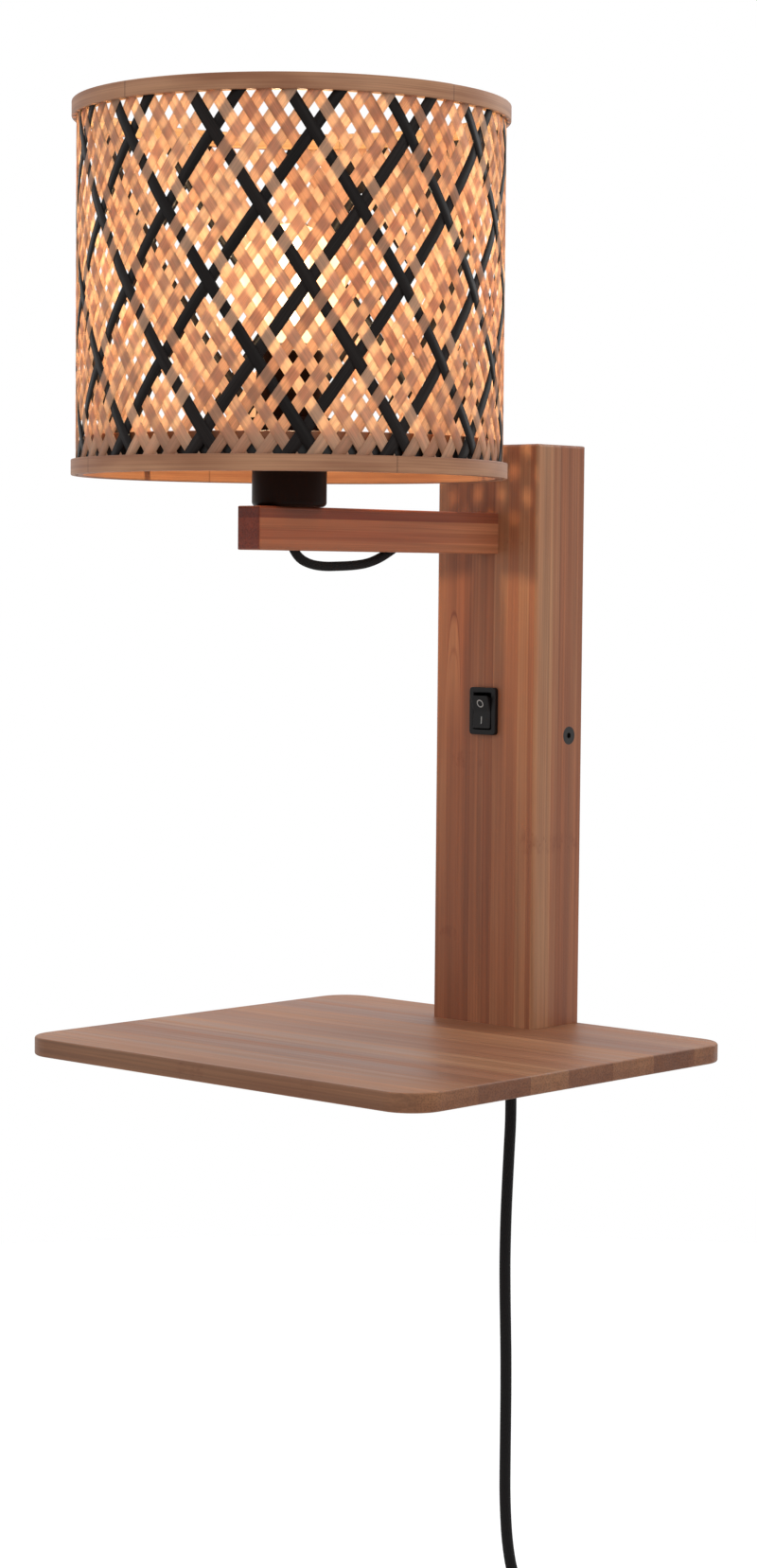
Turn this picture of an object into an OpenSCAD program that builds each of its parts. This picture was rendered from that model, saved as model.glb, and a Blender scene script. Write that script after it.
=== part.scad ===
// Wall lamp with a shelf: a post carries a shelf and an arm, and the arm holds a woven drum shade.
// The origin is the centre of the wall bracket, on the wall. +X is right, -Y points into the room.

/* [Post] */
// Width of the post
post_w = 58; // [56:1:64]
// Depth of the post, from the wall to its front face
post_d = 33; // [32:1:38]
// Height of the post above the shelf
post_h = 257; // [245:1:290]
// Height of the bracket's centre above the shelf
bracket_up = 129; // [122:1:136]
// Width of the cable channel in the back of the post
channel_w = 36; // [35:0.5:38]
// Depth of the cable channel
channel_d = 22; // [21.5:0.5:22.5]
// Wood left above the channel
channel_cap = 12; // [8:1:20]
// Rounding of the post's edges
post_ease = 1.5; // [0.5:0.25:2.5]

/* [Shelf] */
// Width of the shelf
shelf_w = 228; // [180:1:260]
// Depth of the shelf, from the wall
shelf_d = 206; // [170:1:230]
// Thickness of the shelf
shelf_t = 8; // [7:0.5:12]
// Radius of the shelf's corners
shelf_corner = 16; // [10:1:24]
// Rounding along the shelf's edges
shelf_ease = 1; // [0.5:0.25:2]
// Depth of the housing that seats the post in the shelf
seat_d = 1; // [0.5:0.25:2]

/* [Arm] */
// Width of the arm
arm_w = 13; // [12.5:0.5:16]
// Height of the arm's section
arm_h = 18; // [17:0.5:22]
// Height of the arm's underside above the bracket's centre
arm_z = 80; // [74:1:86]
// Reach of the arm in front of the post
arm_reach = 150; // [146:1:160]
// Rounding of the arm's edges
arm_ease = 1; // [0.5:0.25:2]

/* [Shade] */
// Distance of the shade's axis from the wall
shade_out = 159; // [157:1:162]
// Outer radius of the shade
shade_r = 90; // [90:0.5:91]
// Height of the shade's lower edge above the bracket's centre
shade_z = 110; // [110:0.5:112]
// Height of the shade
shade_h = 152; // [152:0.5:153]
// Height of the bamboo hoops
hoop_h = 6.5; // [6:0.1:6.6]
// Thickness of the outer hoops
hoop_out_t = 1.3; // [1.2:0.05:1.3]
// Thickness of the inner hoops
hoop_in_t = 1.6; // [1.2:0.1:2]

/* [Weave] */
// Strips in each direction
strips = 56; // [56:4:56]
// Every strip of this number is black
black_every = 4; // [4:4:8]
// Width of a strip
strip_w = 5.2; // [4:0.1:5.2]
// Thickness of a strip
strip_t = 0.4; // [0.3:0.05:0.4]
// Radius of the middle of the mat
mat_r = 87.3; // [87.2:0.05:87.4]
// Sway of a strip in and out of the mat's middle
sway = 1.25; // [1.25:0.05:1.3]
// Lean of the strips from the vertical, in degrees
lean = 34.05; // [33:0.05:35]
// Skew of the whole mat, in degrees for each millimetre of height
skew = 0.018; // [0:0.001:0.03]
// Direction in which two black strips cross, in degrees
cross_turn = -40.55; // [-60:0.05:60]
// Height at which they cross
cross_z = 240.8; // [240:0.1:242]

/* [Holder and bulb] */
// Outer radius of the cup on the arm
cup_r = 15.5; // [15:0.1:16]
// Height of the cup
cup_h = 27; // [27:0.5:28]
// Radius of the threaded sleeve above the cup
sleeve_r = 14; // [14:0.1:14.2]
// Outer radius of the shade's centre ring
centre_ring_r = 19; // [18:0.5:21]
// Radius of the bulb's ball
ball_r = 22.5; // [18:0.5:23]
// Height of the ball's centre
ball_z = 191.5; // [190:0.5:194]
// Radius of the bulb's screw cap
cap_r = 6.95; // [6.9:0.01:6.97]

/* [Switch] */
// Height of the switch's centre
switch_z = 10.5; // [6:0.5:20]
// Width of the switch's bezel
bezel_w = 15; // [14.5:0.5:17]
// Height of the bezel
bezel_h = 21; // [20.5:0.5:23]
// How far the bezel stands proud of the post
bezel_t = 2; // [1.5:0.1:2.5]
// Angle through which the rocker tips, in degrees
rocker_throw = 15; // [12:1:15]

/* [Cords] */
// Diameter of the mains lead
lead_d = 5.2; // [5:0.1:5.4]
// Diameter of the cable under the arm
cable_d = 4; // [3.8:0.1:4]
// Distance of the mains lead's outlet from the wall
lead_out = 12; // [11:0.5:12.5]
// Length of the tapered strain relief below the shelf
relief_tail = 24; // [20:1:26]
// Radius of the coil's outermost turn
coil_r = 34.7; // [34.7:0.1:36]
// Step from one turn of the coil to the next, and from layer to layer
coil_step = 5.7; // [5.65:0.05:5.8]
// Turns in each of the coil's four layers
layer_turns = 2.28125; // [2.28125:1:2.28125]

/* [Hidden] */
$fn = 96;
skin = 0.05;   // running clearance of a screw or cord in its hole
past = 1;      // how far a cutting tool runs past a face

shelf_top = -bracket_up;
shelf_low = shelf_top - shelf_t;
post_top = post_h - bracket_up;
arm_top = arm_z + arm_h;
wall_t = post_d - channel_d;
seat_z = shelf_top - seat_d;
side_x = post_w / 2;
channel_x = channel_w / 2;
side_mid = (side_x + channel_x) / 2;
channel_y = -channel_d;

// Arm joinery
tenon_w = 9;
tenon_h = 14;
tenon_l = 6;
tenon_z = arm_z + 2;
arm_front = -post_d - arm_reach;
arm_screw_z = arm_top - 5;
arm_bore_z = arm_z + 5.5;
cable_hole_r = cable_d / 2 + 0.5;
drop_hole_r = 4.5;
drop_hole_y = 1.4 - shade_out;
return_y = -97.5;
return_tilt = 27;

// Screws: shank radius, head radius, head height
wood_screw = [2, 4, 2.4];
small_screw = [1.7, 3.2, 2];
side_screw_y = -9.5;
side_screw_l = 17;
shelf_screw_l = 30;
shelf_screw_spots = [[-side_mid, -14], [side_mid, -14], [0, wall_t / 2 - post_d]];

// Bracket
bracket_w = channel_w - 0.4;
bracket_h = 84;
bracket_t = 1.5;
lug_d = 16;
lug_h = 24;
wall_hole_z = 30;
wall_hole_r = 2.5;
nut_t = 3.2;
nut_r = 4;

// Holder
cup_top = arm_top + cup_h;
cup_floor = 2.5;
cup_bore_r = 13.2;
barrel_z = arm_top + 10;
spider_t = 1.2;
ring_z = cup_top + spider_t;
ring_h = 8;
sleeve_top = 162;
shell_r = cap_r + 0.075;
shell_t = 0.6;
mouth_r = 10;
cap_z = 139;
cap_top = 158;
neck_z = 163;
neck_r = 8.4;
collar_r = 9;
tip_z = 136;
holder_screw_y = 9;
glass_t = 1;

// Shade
outer_hoop_in = shade_r - hoop_out_t;
inner_hoop_out = mat_r - sway - strip_t / 2 + 0.05;
inner_hoop_in = inner_hoop_out - hoop_in_t;
carrier_h = 4;
inner_low_h = hoop_h + 0.1;
carrier_z = shade_z + inner_low_h;
keeper_z = carrier_z + carrier_h;
keeper_h = 5;
shade_top = shade_z + shade_h;
spoke_r = 1.5;
spoke_turns = [180, 60, -60];

// Weave: strips share one shape, turned by the pitch, because the twill repeats in level rows
pitch = 360 / strips;
turn_rate = tan(lean) / mat_r * 180 / PI;
row_h = pitch / 2 / turn_rate;
half_w = strip_w / 2 / (pitch * PI / 180 * mat_r * cos(lean));
cut_low = shade_z + 0.4 - cross_z;
cut_high = shade_top - 0.2 - cross_z;
first_row = ceil((cut_low / row_h - 0.5) / 2);
last_row = floor((cut_high / row_h - 0.5) / 2);

// Switch
hinge_y = -post_d - bezel_t + 1.8;
housing_w = 12.8;
housing_h = 18.8;
housing_back = 19;
well_w = 10.2;
well_h = 16.2;
well_back = 27;
rocker_w = 9.8;
rocker_h = 14.8;
nub_r = 1.5;
nub_hole_r = 1.55;
tab_w = 4.8;
tab_t = 0.8;
tab_end = 11.5;

// Wiring in the channel
block_z = [-57, -41];
block_d = 15;
block_w = 20;
clamp_z = [-112, -104];
clamp_w = 28;

// Coil
layers = 4;
coil_turns = layers * layer_turns;
coil_in = coil_r - layer_turns * coil_step;
coil_start = 45;
loop_rings = 24;
wall_gap = 4.4;
tail = 36;
tie_turn = 120;
tie_w = 8;
tie_t = 1;
coil_front = -wall_gap - (layers - 1) * coil_step;

// Plug
plug_relief = 16;
plug_l = 24;
plug_w = 35.3;
plug_t = 13.7;
pin_r = 2;
pin_l = 19;
pin_gap = 18.6;

// Route of the free lead, from the strain relief to the coil, which it joins on the slant
lead_route = [
  [0, -12, -161], [0, -12, -175], [0, -12.8, -189], [0, -13.6, -202], [0, -14.3, -215],
  [0, -14.7, -228], [0, -14.8, -241], [0, -14.5, -254], [0, -14, -267], [0, -13.5, -280],
  [0, -13.2, -293], [0, -13.1, -306], [0, -13.1, -319], [0, -13.1, -332], [0, -13, -345],
  [0, -12.2, -358], [0, -10.7, -370], [0.8, -8.6, -382], [3.3, -6.9, -388.4],
  [7.3, -5.4, -393.7], [14.9, -4.4, -401.3], [20.9, -4.4, -407.3]
];

// The coil's centre follows from the route's end and one straight lead diameter before the first turn
lead_end = lead_route[len(lead_route) - 1];
coil_x = lead_end.x + (lead_d - coil_r) * cos(coil_start);
coil_z = lead_end.z - (lead_d + coil_r) * sin(coil_start);
plug_top = coil_z - tail;

// Route of the cable, from the holder over the loop under the arm to the terminal block
cable_route = [
  [0, -159, 108], [0, -159, 100], [0, -158.9, 93], [0, -158.3, 87], [0, -156.8, 81.5],
  [0, -152.5, 77], [0, -146, 74.6], [0, -138, 73.7], [0, -129, 73.8], [0, -120, 74.2],
  [0, -112, 75.1], [0, -105, 76.9], [0, -98, 79.8], [0, -91, 83.3], [0, -86, 85.1],
  [0, -80, 85.5], [0, -45, 85.5], [0, -24, 85.5], [0, -18.5, 84.2], [0, -14.8, 80.4],
  [0, -13.2, 75], [-1.2, -13, 66], [-4.5, -13, 54], [-7, -13, 43], [-8, -13, 32],
  [-8, -13, 10], [-8, -13, -8], [-6.6, -13.2, -17], [-3.8, -13.8, -24.5],
  [-1.2, -14.4, -31], [0, -14.5, -36], [0, -14.5, -41]
];

// Routes of the two wires from the switch's tabs to the terminal block
wire_r = 0.9;
wire_routes = [
  [[0, -11.5, 15.5], [0.2, -9.5, 15.5], [1.6, -7.4, 14.2], [3.8, -6.8, 9], [5.4, -7.2, 0],
   [6.4, -8.6, -12], [6.4, -10.6, -24], [5.8, -12.2, -33], [5.5, -12.5, -37], [5.5, -12.5, -41]],
  [[0, -11.5, 5.5], [0.2, -9.8, 5.4], [1.2, -8.8, 3.6], [2.4, -9.2, -2], [3.2, -10.6, -12],
   [3.6, -12.4, -24], [3.2, -13.3, -31], [3, -13.5, -36], [3, -13.5, -41]]
];

// ---- outlines and blocks ----

// A rectangle with round corners, centred
module round_rect(w, h, r) {
  square([w - 2 * r, h], center = true);
  square([w, h - 2 * r], center = true);
  for (x = [-1, 1], y = [-1, 1])
    translate([x * (w / 2 - r), y * (h / 2 - r)]) circle(r);
}

// A block from its low to its high corner with every edge rounded
module eased_block(low, high, r) {
  size = high - low;
  translate((low + high) / 2) intersection() {
    linear_extrude(size.z, center = true) round_rect(size.x, size.y, r);
    rotate([90, 0, 0]) linear_extrude(size.y, center = true) round_rect(size.x, size.z, r);
    rotate([90, 0, 90]) linear_extrude(size.x, center = true) round_rect(size.y, size.z, r);
  }
}

// A plain block between two corners
module block(low, high) {
  translate(low) cube(high - low);
}

// A rod from a point, along a direction
module rod(at, turn, r, l) {
  translate(at) rotate(turn) cylinder(r = r, h = l);
}

// A band round the Z axis, with its edges eased
module band(r_in, r_out, z, h) {
  ease = min(0.4, (r_out - r_in) / 3);
  rotate_extrude($fn = 180)
    translate([(r_in + r_out) / 2, z + h / 2]) round_rect(r_out - r_in, h, ease);
}

// A countersunk screw at the origin, its head's face on z = 0 and its shank going up
module flat_screw(size, l) {
  difference() {
    union() {
      cylinder(r1 = size[1], r2 = size[0], h = size[2]);
      cylinder(r = size[0], h = l);
      translate([0, 0, l]) cylinder(r1 = size[0], r2 = 0.4, h = 2 * size[0]);
    }
    for (a = [0, 90])
      rotate(a) translate([0, 0, 0.5]) cube([0.9, size[1], 3], center = true);
  }
}

// The hole that such a screw needs
module flat_screw_hole(size, l) {
  cylinder(r1 = size[1], r2 = size[0], h = size[2]);
  translate([0, 0, -past]) cylinder(r = size[1], h = past);
  cylinder(r = size[0] + skin, h = l + 2 * size[0] + past);
}

// A pan-head screw, its head's seat on z = 0 and its shank going down
module pan_screw(size, l) {
  difference() {
    union() {
      cylinder(r = size[1], h = size[2] * 0.5);
      translate([0, 0, size[2] * 0.5]) cylinder(r1 = size[1], r2 = size[1] * 0.7, h = size[2] * 0.5);
      translate([0, 0, -l]) cylinder(r = size[0], h = l);
    }
    for (a = [0, 90])
      rotate(a) translate([0, 0, size[2]]) cube([0.8, size[1] * 1.2, size[2]], center = true);
  }
}

// ---- swept cords ----

function unit(v) = v / norm(v);

// Direction of the path at each of its points
function headings(path) = [
  for (i = [0 : len(path) - 1])
    unit(path[min(i + 1, len(path) - 1)] - path[max(i - 1, 0)])
];

// Points of a round tube along a path, ring by ring
function tube_points(path, r, sides, side_axis) =
  let (heads = headings(path))
  [
    for (i = [0 : len(path) - 1])
      let (u = unit(cross(heads[i], side_axis)), v = cross(heads[i], u))
      for (k = [0 : sides - 1])
        path[i] + r * (cos(360 * k / sides) * u + sin(360 * k / sides) * v)
  ];

// Triangles of a tube of so many rings
function tube_faces(rings, sides) = concat(
  [for (k = [1 : sides - 2]) [0, k, k + 1]],
  [
    for (i = [0 : rings - 2], k = [0 : sides - 1])
      let (a = i * sides + k, b = i * sides + (k + 1) % sides)
      each [[a, a + sides, b], [b, a + sides, b + sides]]
  ],
  let (last = (rings - 1) * sides)
  [for (k = [1 : sides - 2]) [last, last + k + 1, last + k]]
);

module tube(path, r, sides, side_axis) {
  polyhedron(tube_points(path, r, sides, side_axis), tube_faces(len(path), sides));
}

// ---- post, shelf and bracket ----

module post() color("burlywood") difference() {
  intersection() {
    eased_block([-side_x, -post_d, seat_z - 2 * post_ease], [side_x, 0, post_top], post_ease);
    block([-side_x - past, -post_d - past, seat_z], [side_x + past, past, post_top + past]);
  }
  channel();
  tenon();
  rod([0, -post_d, arm_screw_z], [-90, 0, 0], wood_screw[0] + skin, wall_t + past);
  rod([0, -post_d, arm_bore_z], [-90, 0, 0], cable_hole_r, wall_t + past);
  translate([0, -post_d / 2 - past, switch_z])
    cube([housing_w + 0.2, post_d + 2 * past, housing_h + 0.2], center = true);
  for (s = [-1, 1])
    translate([s * side_x, side_screw_y, 0]) rotate([0, -s * 90, 0])
      flat_screw_hole(wood_screw, side_screw_l);
  for (p = shelf_screw_spots)
    translate([p.x, p.y, shelf_low]) cylinder(r = wood_screw[0] + skin, h = shelf_screw_l + 5);
}

// The milled channel, with round upper corners
module channel() {
  corner = 4;
  translate([0, past, 0]) rotate([90, 0, 0]) linear_extrude(channel_d + past) {
    translate([0, (post_top - channel_cap + seat_z) / 2])
      round_rect(channel_w, post_top - channel_cap - seat_z, corner);
    translate([-channel_x, seat_z - past]) square([channel_w, 2 * corner]);
  }
}

module shelf() color("tan") difference() {
  translate([0, -shelf_d / 2, shelf_low + shelf_t / 2]) shelf_board();
  translate([0, -lead_out, shelf_low - past]) cylinder(r = 4.5, h = shelf_t + 2 * past);
  for (p = shelf_screw_spots)
    translate([p.x, p.y, shelf_low]) flat_screw_hole(wood_screw, shelf_screw_l);
  seat();
}

// Shallow housing for the foot of the post, open at the back edge
module seat() {
  play = 0.1;
  translate([0, 0, seat_z]) linear_extrude(seat_d + past)
    translate([0, past - post_d / 2]) round_rect(post_w + 2 * play, post_d + 2 * (play + past), post_ease);
}

// The board: four turned corners, four moulded edges and a flat middle
module shelf_board() {
  x = shelf_w / 2 - shelf_corner;
  y = shelf_d / 2 - shelf_corner;
  for (s = [-1, 1], t = [-1, 1])
    translate([s * x, t * y, 0]) rotate_extrude() shelf_edge();
  for (s = [0, 180]) rotate(s) {
    translate([0, -y, 0]) rotate([90, 0, -90])
      linear_extrude(2 * x, center = true) shelf_edge();
    translate([x, 0, 0]) rotate([90, 0, 0])
      linear_extrude(2 * y, center = true) shelf_edge();
  }
  cube([2 * x, 2 * y, shelf_t], center = true);
}

// Section of the board from the middle of a corner to its rounded edge
module shelf_edge() {
  square_w = shelf_corner - shelf_ease;
  translate([0, -shelf_t / 2]) square([square_w, shelf_t]);
  translate([0, -shelf_t / 2 + shelf_ease]) square([shelf_corner, shelf_t - 2 * shelf_ease]);
  for (s = [-1, 1]) translate([square_w, s * (shelf_t / 2 - shelf_ease)]) circle(shelf_ease);
}

module shelf_screws() color("silver") for (p = shelf_screw_spots)
  translate([p.x, p.y, shelf_low]) flat_screw(wood_screw, shelf_screw_l);

module wall_bracket() color("gainsboro") difference() {
  union() {
    rotate([90, 0, 0]) linear_extrude(bracket_t) round_rect(bracket_w, bracket_h, 4);
    for (s = [-1, 1])
      translate([s * (bracket_w / 2 - bracket_t / 2), 0, 0]) rotate([90, 0, 90])
        linear_extrude(bracket_t, center = true) {
          translate([-lug_d / 2, 0]) round_rect(lug_d, lug_h, 3);
          translate([-lug_d / 2, -lug_h / 2]) square([lug_d / 2, lug_h]);
        }
  }
  for (s = [-1, 1]) {
    rod([0, -bracket_t - past, s * wall_hole_z], [-90, 0, 0], wall_hole_r, bracket_t + 2 * past);
    rod([s * (bracket_w / 2 + past), side_screw_y, 0], [0, -s * 90, 0], wood_screw[0] + skin, 5);
  }
  rod([0, -bracket_t - past, 0], [-90, 0, 0], 6, bracket_t + 2 * past);
}

module bracket_nuts() color("darkgray") for (s = [-1, 1])
  translate([s * (bracket_w / 2 - bracket_t), side_screw_y, 0]) rotate([0, -s * 90, 0]) difference() {
    cylinder(r = nut_r, h = nut_t, $fn = 6);
    translate([0, 0, -past]) cylinder(r = wood_screw[0] + skin, h = nut_t + 2 * past);
  }

module side_screws() color("dimgray") for (s = [-1, 1])
  translate([s * side_x, side_screw_y, 0]) rotate([0, -s * 90, 0]) difference() {
    union() {
      cylinder(r1 = wood_screw[1], r2 = wood_screw[0], h = wood_screw[2]);
      cylinder(r = wood_screw[0], h = side_screw_l);
    }
    translate([0, 0, -past]) cylinder(r = 1.4, h = past + 1.6, $fn = 6);
  }

// ---- arm ----

module arm() color("peru") difference() {
  union() {
    intersection() {
      eased_block([-arm_w / 2, arm_front, arm_z], [arm_w / 2, 0, arm_top], arm_ease);
      block([-arm_w, arm_front - past, arm_z - past], [arm_w, -post_d, arm_top + past]);
    }
    tenon();
  }
  translate([0, drop_hole_y, arm_z - past]) cylinder(r = drop_hole_r, h = arm_h + 2 * past);
  rod([0, -post_d + tenon_l + past, arm_bore_z], [90, 0, 0], cable_hole_r, 60);
  rod([0, return_y, arm_z], [return_tilt - 90, 0, 0], cable_hole_r, 14);
  rod([0, return_y, arm_z], [return_tilt + 90, 0, 0], cable_hole_r, 8);
  rod([0, -post_d + tenon_l + past, arm_screw_z], [90, 0, 0], wood_screw[0] + skin, 48);
  for (s = [-1, 1])
    translate([0, s * holder_screw_y - shade_out, arm_top - 13])
      cylinder(r = small_screw[0] + skin, h = 13 + past);
}

// Tenon at the arm's end, in the post
module tenon() {
  block([-tenon_w / 2, -post_d - past, tenon_z], [tenon_w / 2, tenon_l - post_d, tenon_z + tenon_h]);
}

module arm_screw() color("silver")
  translate([0, channel_y, arm_screw_z]) rotate([-90, 0, 0]) pan_screw([wood_screw[0], 4.5, 3], 50);

// ---- lamp holder ----

module holder_cup() color("#241d1a") translate([0, -shade_out, arm_top]) difference() {
  rotate_extrude() difference() {
    union() {
      square([cup_r - 2, cup_h]);
      translate([0, 2]) square([cup_r, cup_h - 2.5]);
      translate([cup_r - 2, 2]) circle(2);
      translate([0, cup_h - 0.5]) square([cup_r - 0.5, 0.5]);
      translate([cup_r - 0.5, cup_h - 0.5]) circle(0.5);
    }
    translate([-past, -past]) square([past, cup_h + 2 * past]);
    translate([-past, cup_floor]) square([cup_bore_r + past, cup_h]);
  }
  translate([0, 1.4, -past]) cylinder(r = drop_hole_r, h = cup_floor + 2 * past);
  for (s = [-1, 1])
    translate([0, s * holder_screw_y, -past]) cylinder(r = small_screw[0] + skin, h = cup_floor + 2 * past);
}

module holder_screws() color("silver") for (s = [-1, 1])
  translate([0, s * holder_screw_y - shade_out, arm_top + cup_floor]) pan_screw(small_screw, 12);

// Insulating body with its threaded sleeve, bored for the contacts and the bulb's cap
module socket_body() color("#2a2523") translate([0, -shade_out, 0]) difference() {
  union() {
    translate([0, 0, barrel_z]) cylinder(r = cup_bore_r - skin, h = cup_top - barrel_z + past);
    translate([0, 0, cup_top]) cylinder(r = sleeve_r, h = sleeve_top - cup_top - 0.6);
    translate([0, 0, sleeve_top - 0.6]) cylinder(r1 = sleeve_r, r2 = sleeve_r - 0.6, h = 0.6);
  }
  translate([0, 0, tip_z + 0.5]) cylinder(r = shell_r + shell_t, h = 50);
  translate([0, 0, cap_top]) cylinder(r = mouth_r, h = 50);
  translate([0, 0, tip_z - 8]) cylinder(r = 3, h = 20);
}

// Brass screw shell and the sprung centre contact
module socket_contacts() color("goldenrod") translate([0, -shade_out, 0]) {
  difference() {
    translate([0, 0, tip_z + 0.5]) cylinder(r = shell_r + shell_t, h = cap_top - tip_z - 0.5);
    translate([0, 0, tip_z - past]) cylinder(r = shell_r, h = 50);
  }
  translate([0, 0, tip_z - 8]) cylinder(r = 3, h = 6.5);
  translate([0, 0, tip_z - 1.5]) cylinder(r1 = 3, r2 = 1.6, h = 1.4);
}

// Ring that clamps the shade on the sleeve, with finger flutes
module shade_ring() color("#241d1a") translate([0, -shade_out, 0]) difference() {
  rotate_extrude()
    translate([(sleeve_r + centre_ring_r + skin) / 2, ring_z + ring_h / 2])
      round_rect(centre_ring_r - sleeve_r - skin, ring_h, 0.7);
  for (i = [0 : 17])
    rotate(i * 20) translate([centre_ring_r + 0.4, 0, ring_z + 1.2]) cylinder(r = 1, h = ring_h);
}

// ---- shade ----

// Steel frame: a centre ring on the holder, three sloping spokes and a flat carrier ring
module shade_spider() color("#2b2b2b") translate([0, -shade_out, 0]) {
  carrier_mid = (inner_hoop_in + inner_hoop_out) / 2;
  drop = cup_top + spider_t / 2 - carrier_z - carrier_h / 2;
  run = carrier_mid - centre_ring_r + 1;
  difference() {
    union() {
      translate([0, 0, cup_top]) cylinder(r = centre_ring_r, h = spider_t);
      for (a = spoke_turns)
        rotate(a) translate([centre_ring_r - 1, 0, cup_top + spider_t / 2])
          rotate([0, 90 + atan(drop / run), 0]) cylinder(r = spoke_r, h = norm([run, drop]));
    }
    translate([0, 0, cup_top - past]) cylinder(r = sleeve_r + 0.2, h = spider_t + 2 * past);
    translate([0, 0, ring_z]) cylinder(r = centre_ring_r + 0.3, h = 4);
    translate([0, 0, cup_top - 4]) cylinder(r = cup_r + 0.3, h = 4);
  }
  rotate_extrude($fn = 180) translate([inner_hoop_in, carrier_z]) square([hoop_in_t, carrier_h]);
}

module hoop_bottom_outer() color("#c49a6c") translate([0, -shade_out, 0])
  band(outer_hoop_in, shade_r, shade_z, hoop_h);

module hoop_bottom_inner() color("#d6ab78") translate([0, -shade_out, 0])
  band(inner_hoop_in, inner_hoop_out, shade_z, inner_low_h);

module hoop_keeper() color("#d6ab78") translate([0, -shade_out, 0])
  band(inner_hoop_in, inner_hoop_out, keeper_z, keeper_h);

module hoop_top_outer() color("#b98a60") translate([0, -shade_out, 0])
  band(outer_hoop_in, shade_r, shade_top - hoop_h, hoop_h);

module hoop_top_inner() color("#d6ab78") translate([0, -shade_out, 0])
  band(inner_hoop_in, inner_hoop_out, shade_top - hoop_h, hoop_h);

// ---- weave ----

// In-and-out wave over four rows: two crossings outside, then two inside
function wave(h) =
  let (q = h / row_h - 0.5, v = q - 4 * floor(q / 4))
  v < 2 ? 1 - v : v - 3;

// One corner of a strip's section: side and face are -1 or 1, way is 1 for strips leaning left
function strip_corner(way, turn, mid_h, side, face) =
  let (
    h = mid_h + way * side * half_w * row_h,
    a = cross_turn + turn + skew * h + (side * half_w - way * mid_h / row_h) * pitch / 2,
    r = mat_r + way * sway * wave(mid_h) + face * strip_t / 2
  )
  [r * cos(a), r * sin(a), cross_z + h];

// The four corners of a section across the strip, or cut level at height h
function strip_ring(way, turn, h, level) = [
  for (c = [[-1, -1], [1, -1], [1, 1], [-1, 1]])
    strip_corner(way, turn, level ? h - way * c[0] * half_w * row_h : h, c[0], c[1])
];

function strip_points(way, turn) = [
  each strip_ring(way, turn, cut_low, true),
  for (n = [first_row : last_row]) each strip_ring(way, turn, (2 * n + 0.5) * row_h, false),
  each strip_ring(way, turn, cut_high, true)
];

strip_rings = last_row - first_row + 3;

// Triangles of one strip. Each cell is folded along its steeper diagonal, inside and outside alike
function strip_faces(way, offset) = [
  each [[offset, offset + 2, offset + 1], [offset, offset + 3, offset + 2]],
  for (i = [0 : strip_rings - 2], k = [0 : 3])
    let (
      a = offset + 4 * i + k, b = offset + 4 * i + (k + 1) % 4, up = 4,
      rising = (k == 0) == (way > 0)
    )
    each rising
      ? [[a, b, b + up], [a, b + up, a + up]]
      : [[a, b, a + up], [b, b + up, a + up]],
  let (last = offset + 4 * (strip_rings - 1))
  each [[last, last + 1, last + 2], [last, last + 2, last + 3]]
];

// Strips of one direction and colour
module weave(way, black) {
  picked = [for (i = [0 : strips - 1]) if ((i % black_every == 0) == black) i];
  points = [for (i = picked) each strip_points(way, i * pitch)];
  faces = [for (n = [0 : len(picked) - 1]) each strip_faces(way, n * 4 * strip_rings)];
  translate([0, -shade_out, 0]) polyhedron(points, faces);
}

module weave_left_natural() color("#dfb27e") weave(1, false);
module weave_left_black() color("#1d1b1a") weave(1, true);
module weave_right_natural() color("#d8a873") weave(-1, false);
module weave_right_black() color("#1d1b1a") weave(-1, true);

// ---- bulb ----

// Glass envelope: a ball on a short cone and neck
module glass_form(shrink) {
  translate([0, 0, ball_z]) sphere(r = ball_r - shrink);
  translate([0, 0, neck_z]) cylinder(r = neck_r - shrink, h = 3);
  translate([0, 0, neck_z + 3]) cylinder(r1 = neck_r - shrink, r2 = ball_r * 0.7 - shrink, h = 9.5);
}

module bulb_glass() color("#fff1cf") translate([0, -shade_out, 0]) difference() {
  glass_form(0);
  glass_form(glass_t);
  translate([0, 0, neck_z - past]) cylinder(r = neck_r - glass_t, h = 2 * past);
}

module bulb_cap() color("#c8c4b8") translate([0, -shade_out, 0]) difference() {
  union() {
    translate([0, 0, cap_z]) cylinder(r = cap_r, h = cap_top - cap_z);
    translate([0, 0, cap_top]) cylinder(r1 = cap_r, r2 = collar_r, h = neck_z - cap_top);
    translate([0, 0, neck_z]) cylinder(r = collar_r, h = 2);
  }
  translate([0, 0, neck_z]) cylinder(r = neck_r, h = 3);
}

module bulb_tip() color("#3a3632") translate([0, -shade_out, 0]) {
  translate([0, 0, tip_z]) cylinder(r = 2.4, h = 1);
  translate([0, 0, tip_z + 0.8]) cylinder(r1 = 4.5, r2 = 6.5, h = cap_z - tip_z - 0.8);
}

// ---- switch ----

module switch_housing() color("#191919") difference() {
  union() {
    translate([0, -post_d, switch_z]) rotate([90, 0, 0])
      linear_extrude(bezel_t) round_rect(bezel_w, bezel_h, 1.5);
    translate([0, -(post_d + housing_back) / 2, switch_z])
      cube([housing_w, post_d - housing_back, housing_h], center = true);
  }
  translate([0, -(post_d + bezel_t + past + well_back) / 2, switch_z])
    cube([well_w, post_d + bezel_t + past - well_back, well_h], center = true);
  translate([-housing_w, hinge_y, switch_z]) rotate([0, 90, 0])
    cylinder(r = nub_hole_r, h = 2 * housing_w);
}

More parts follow.
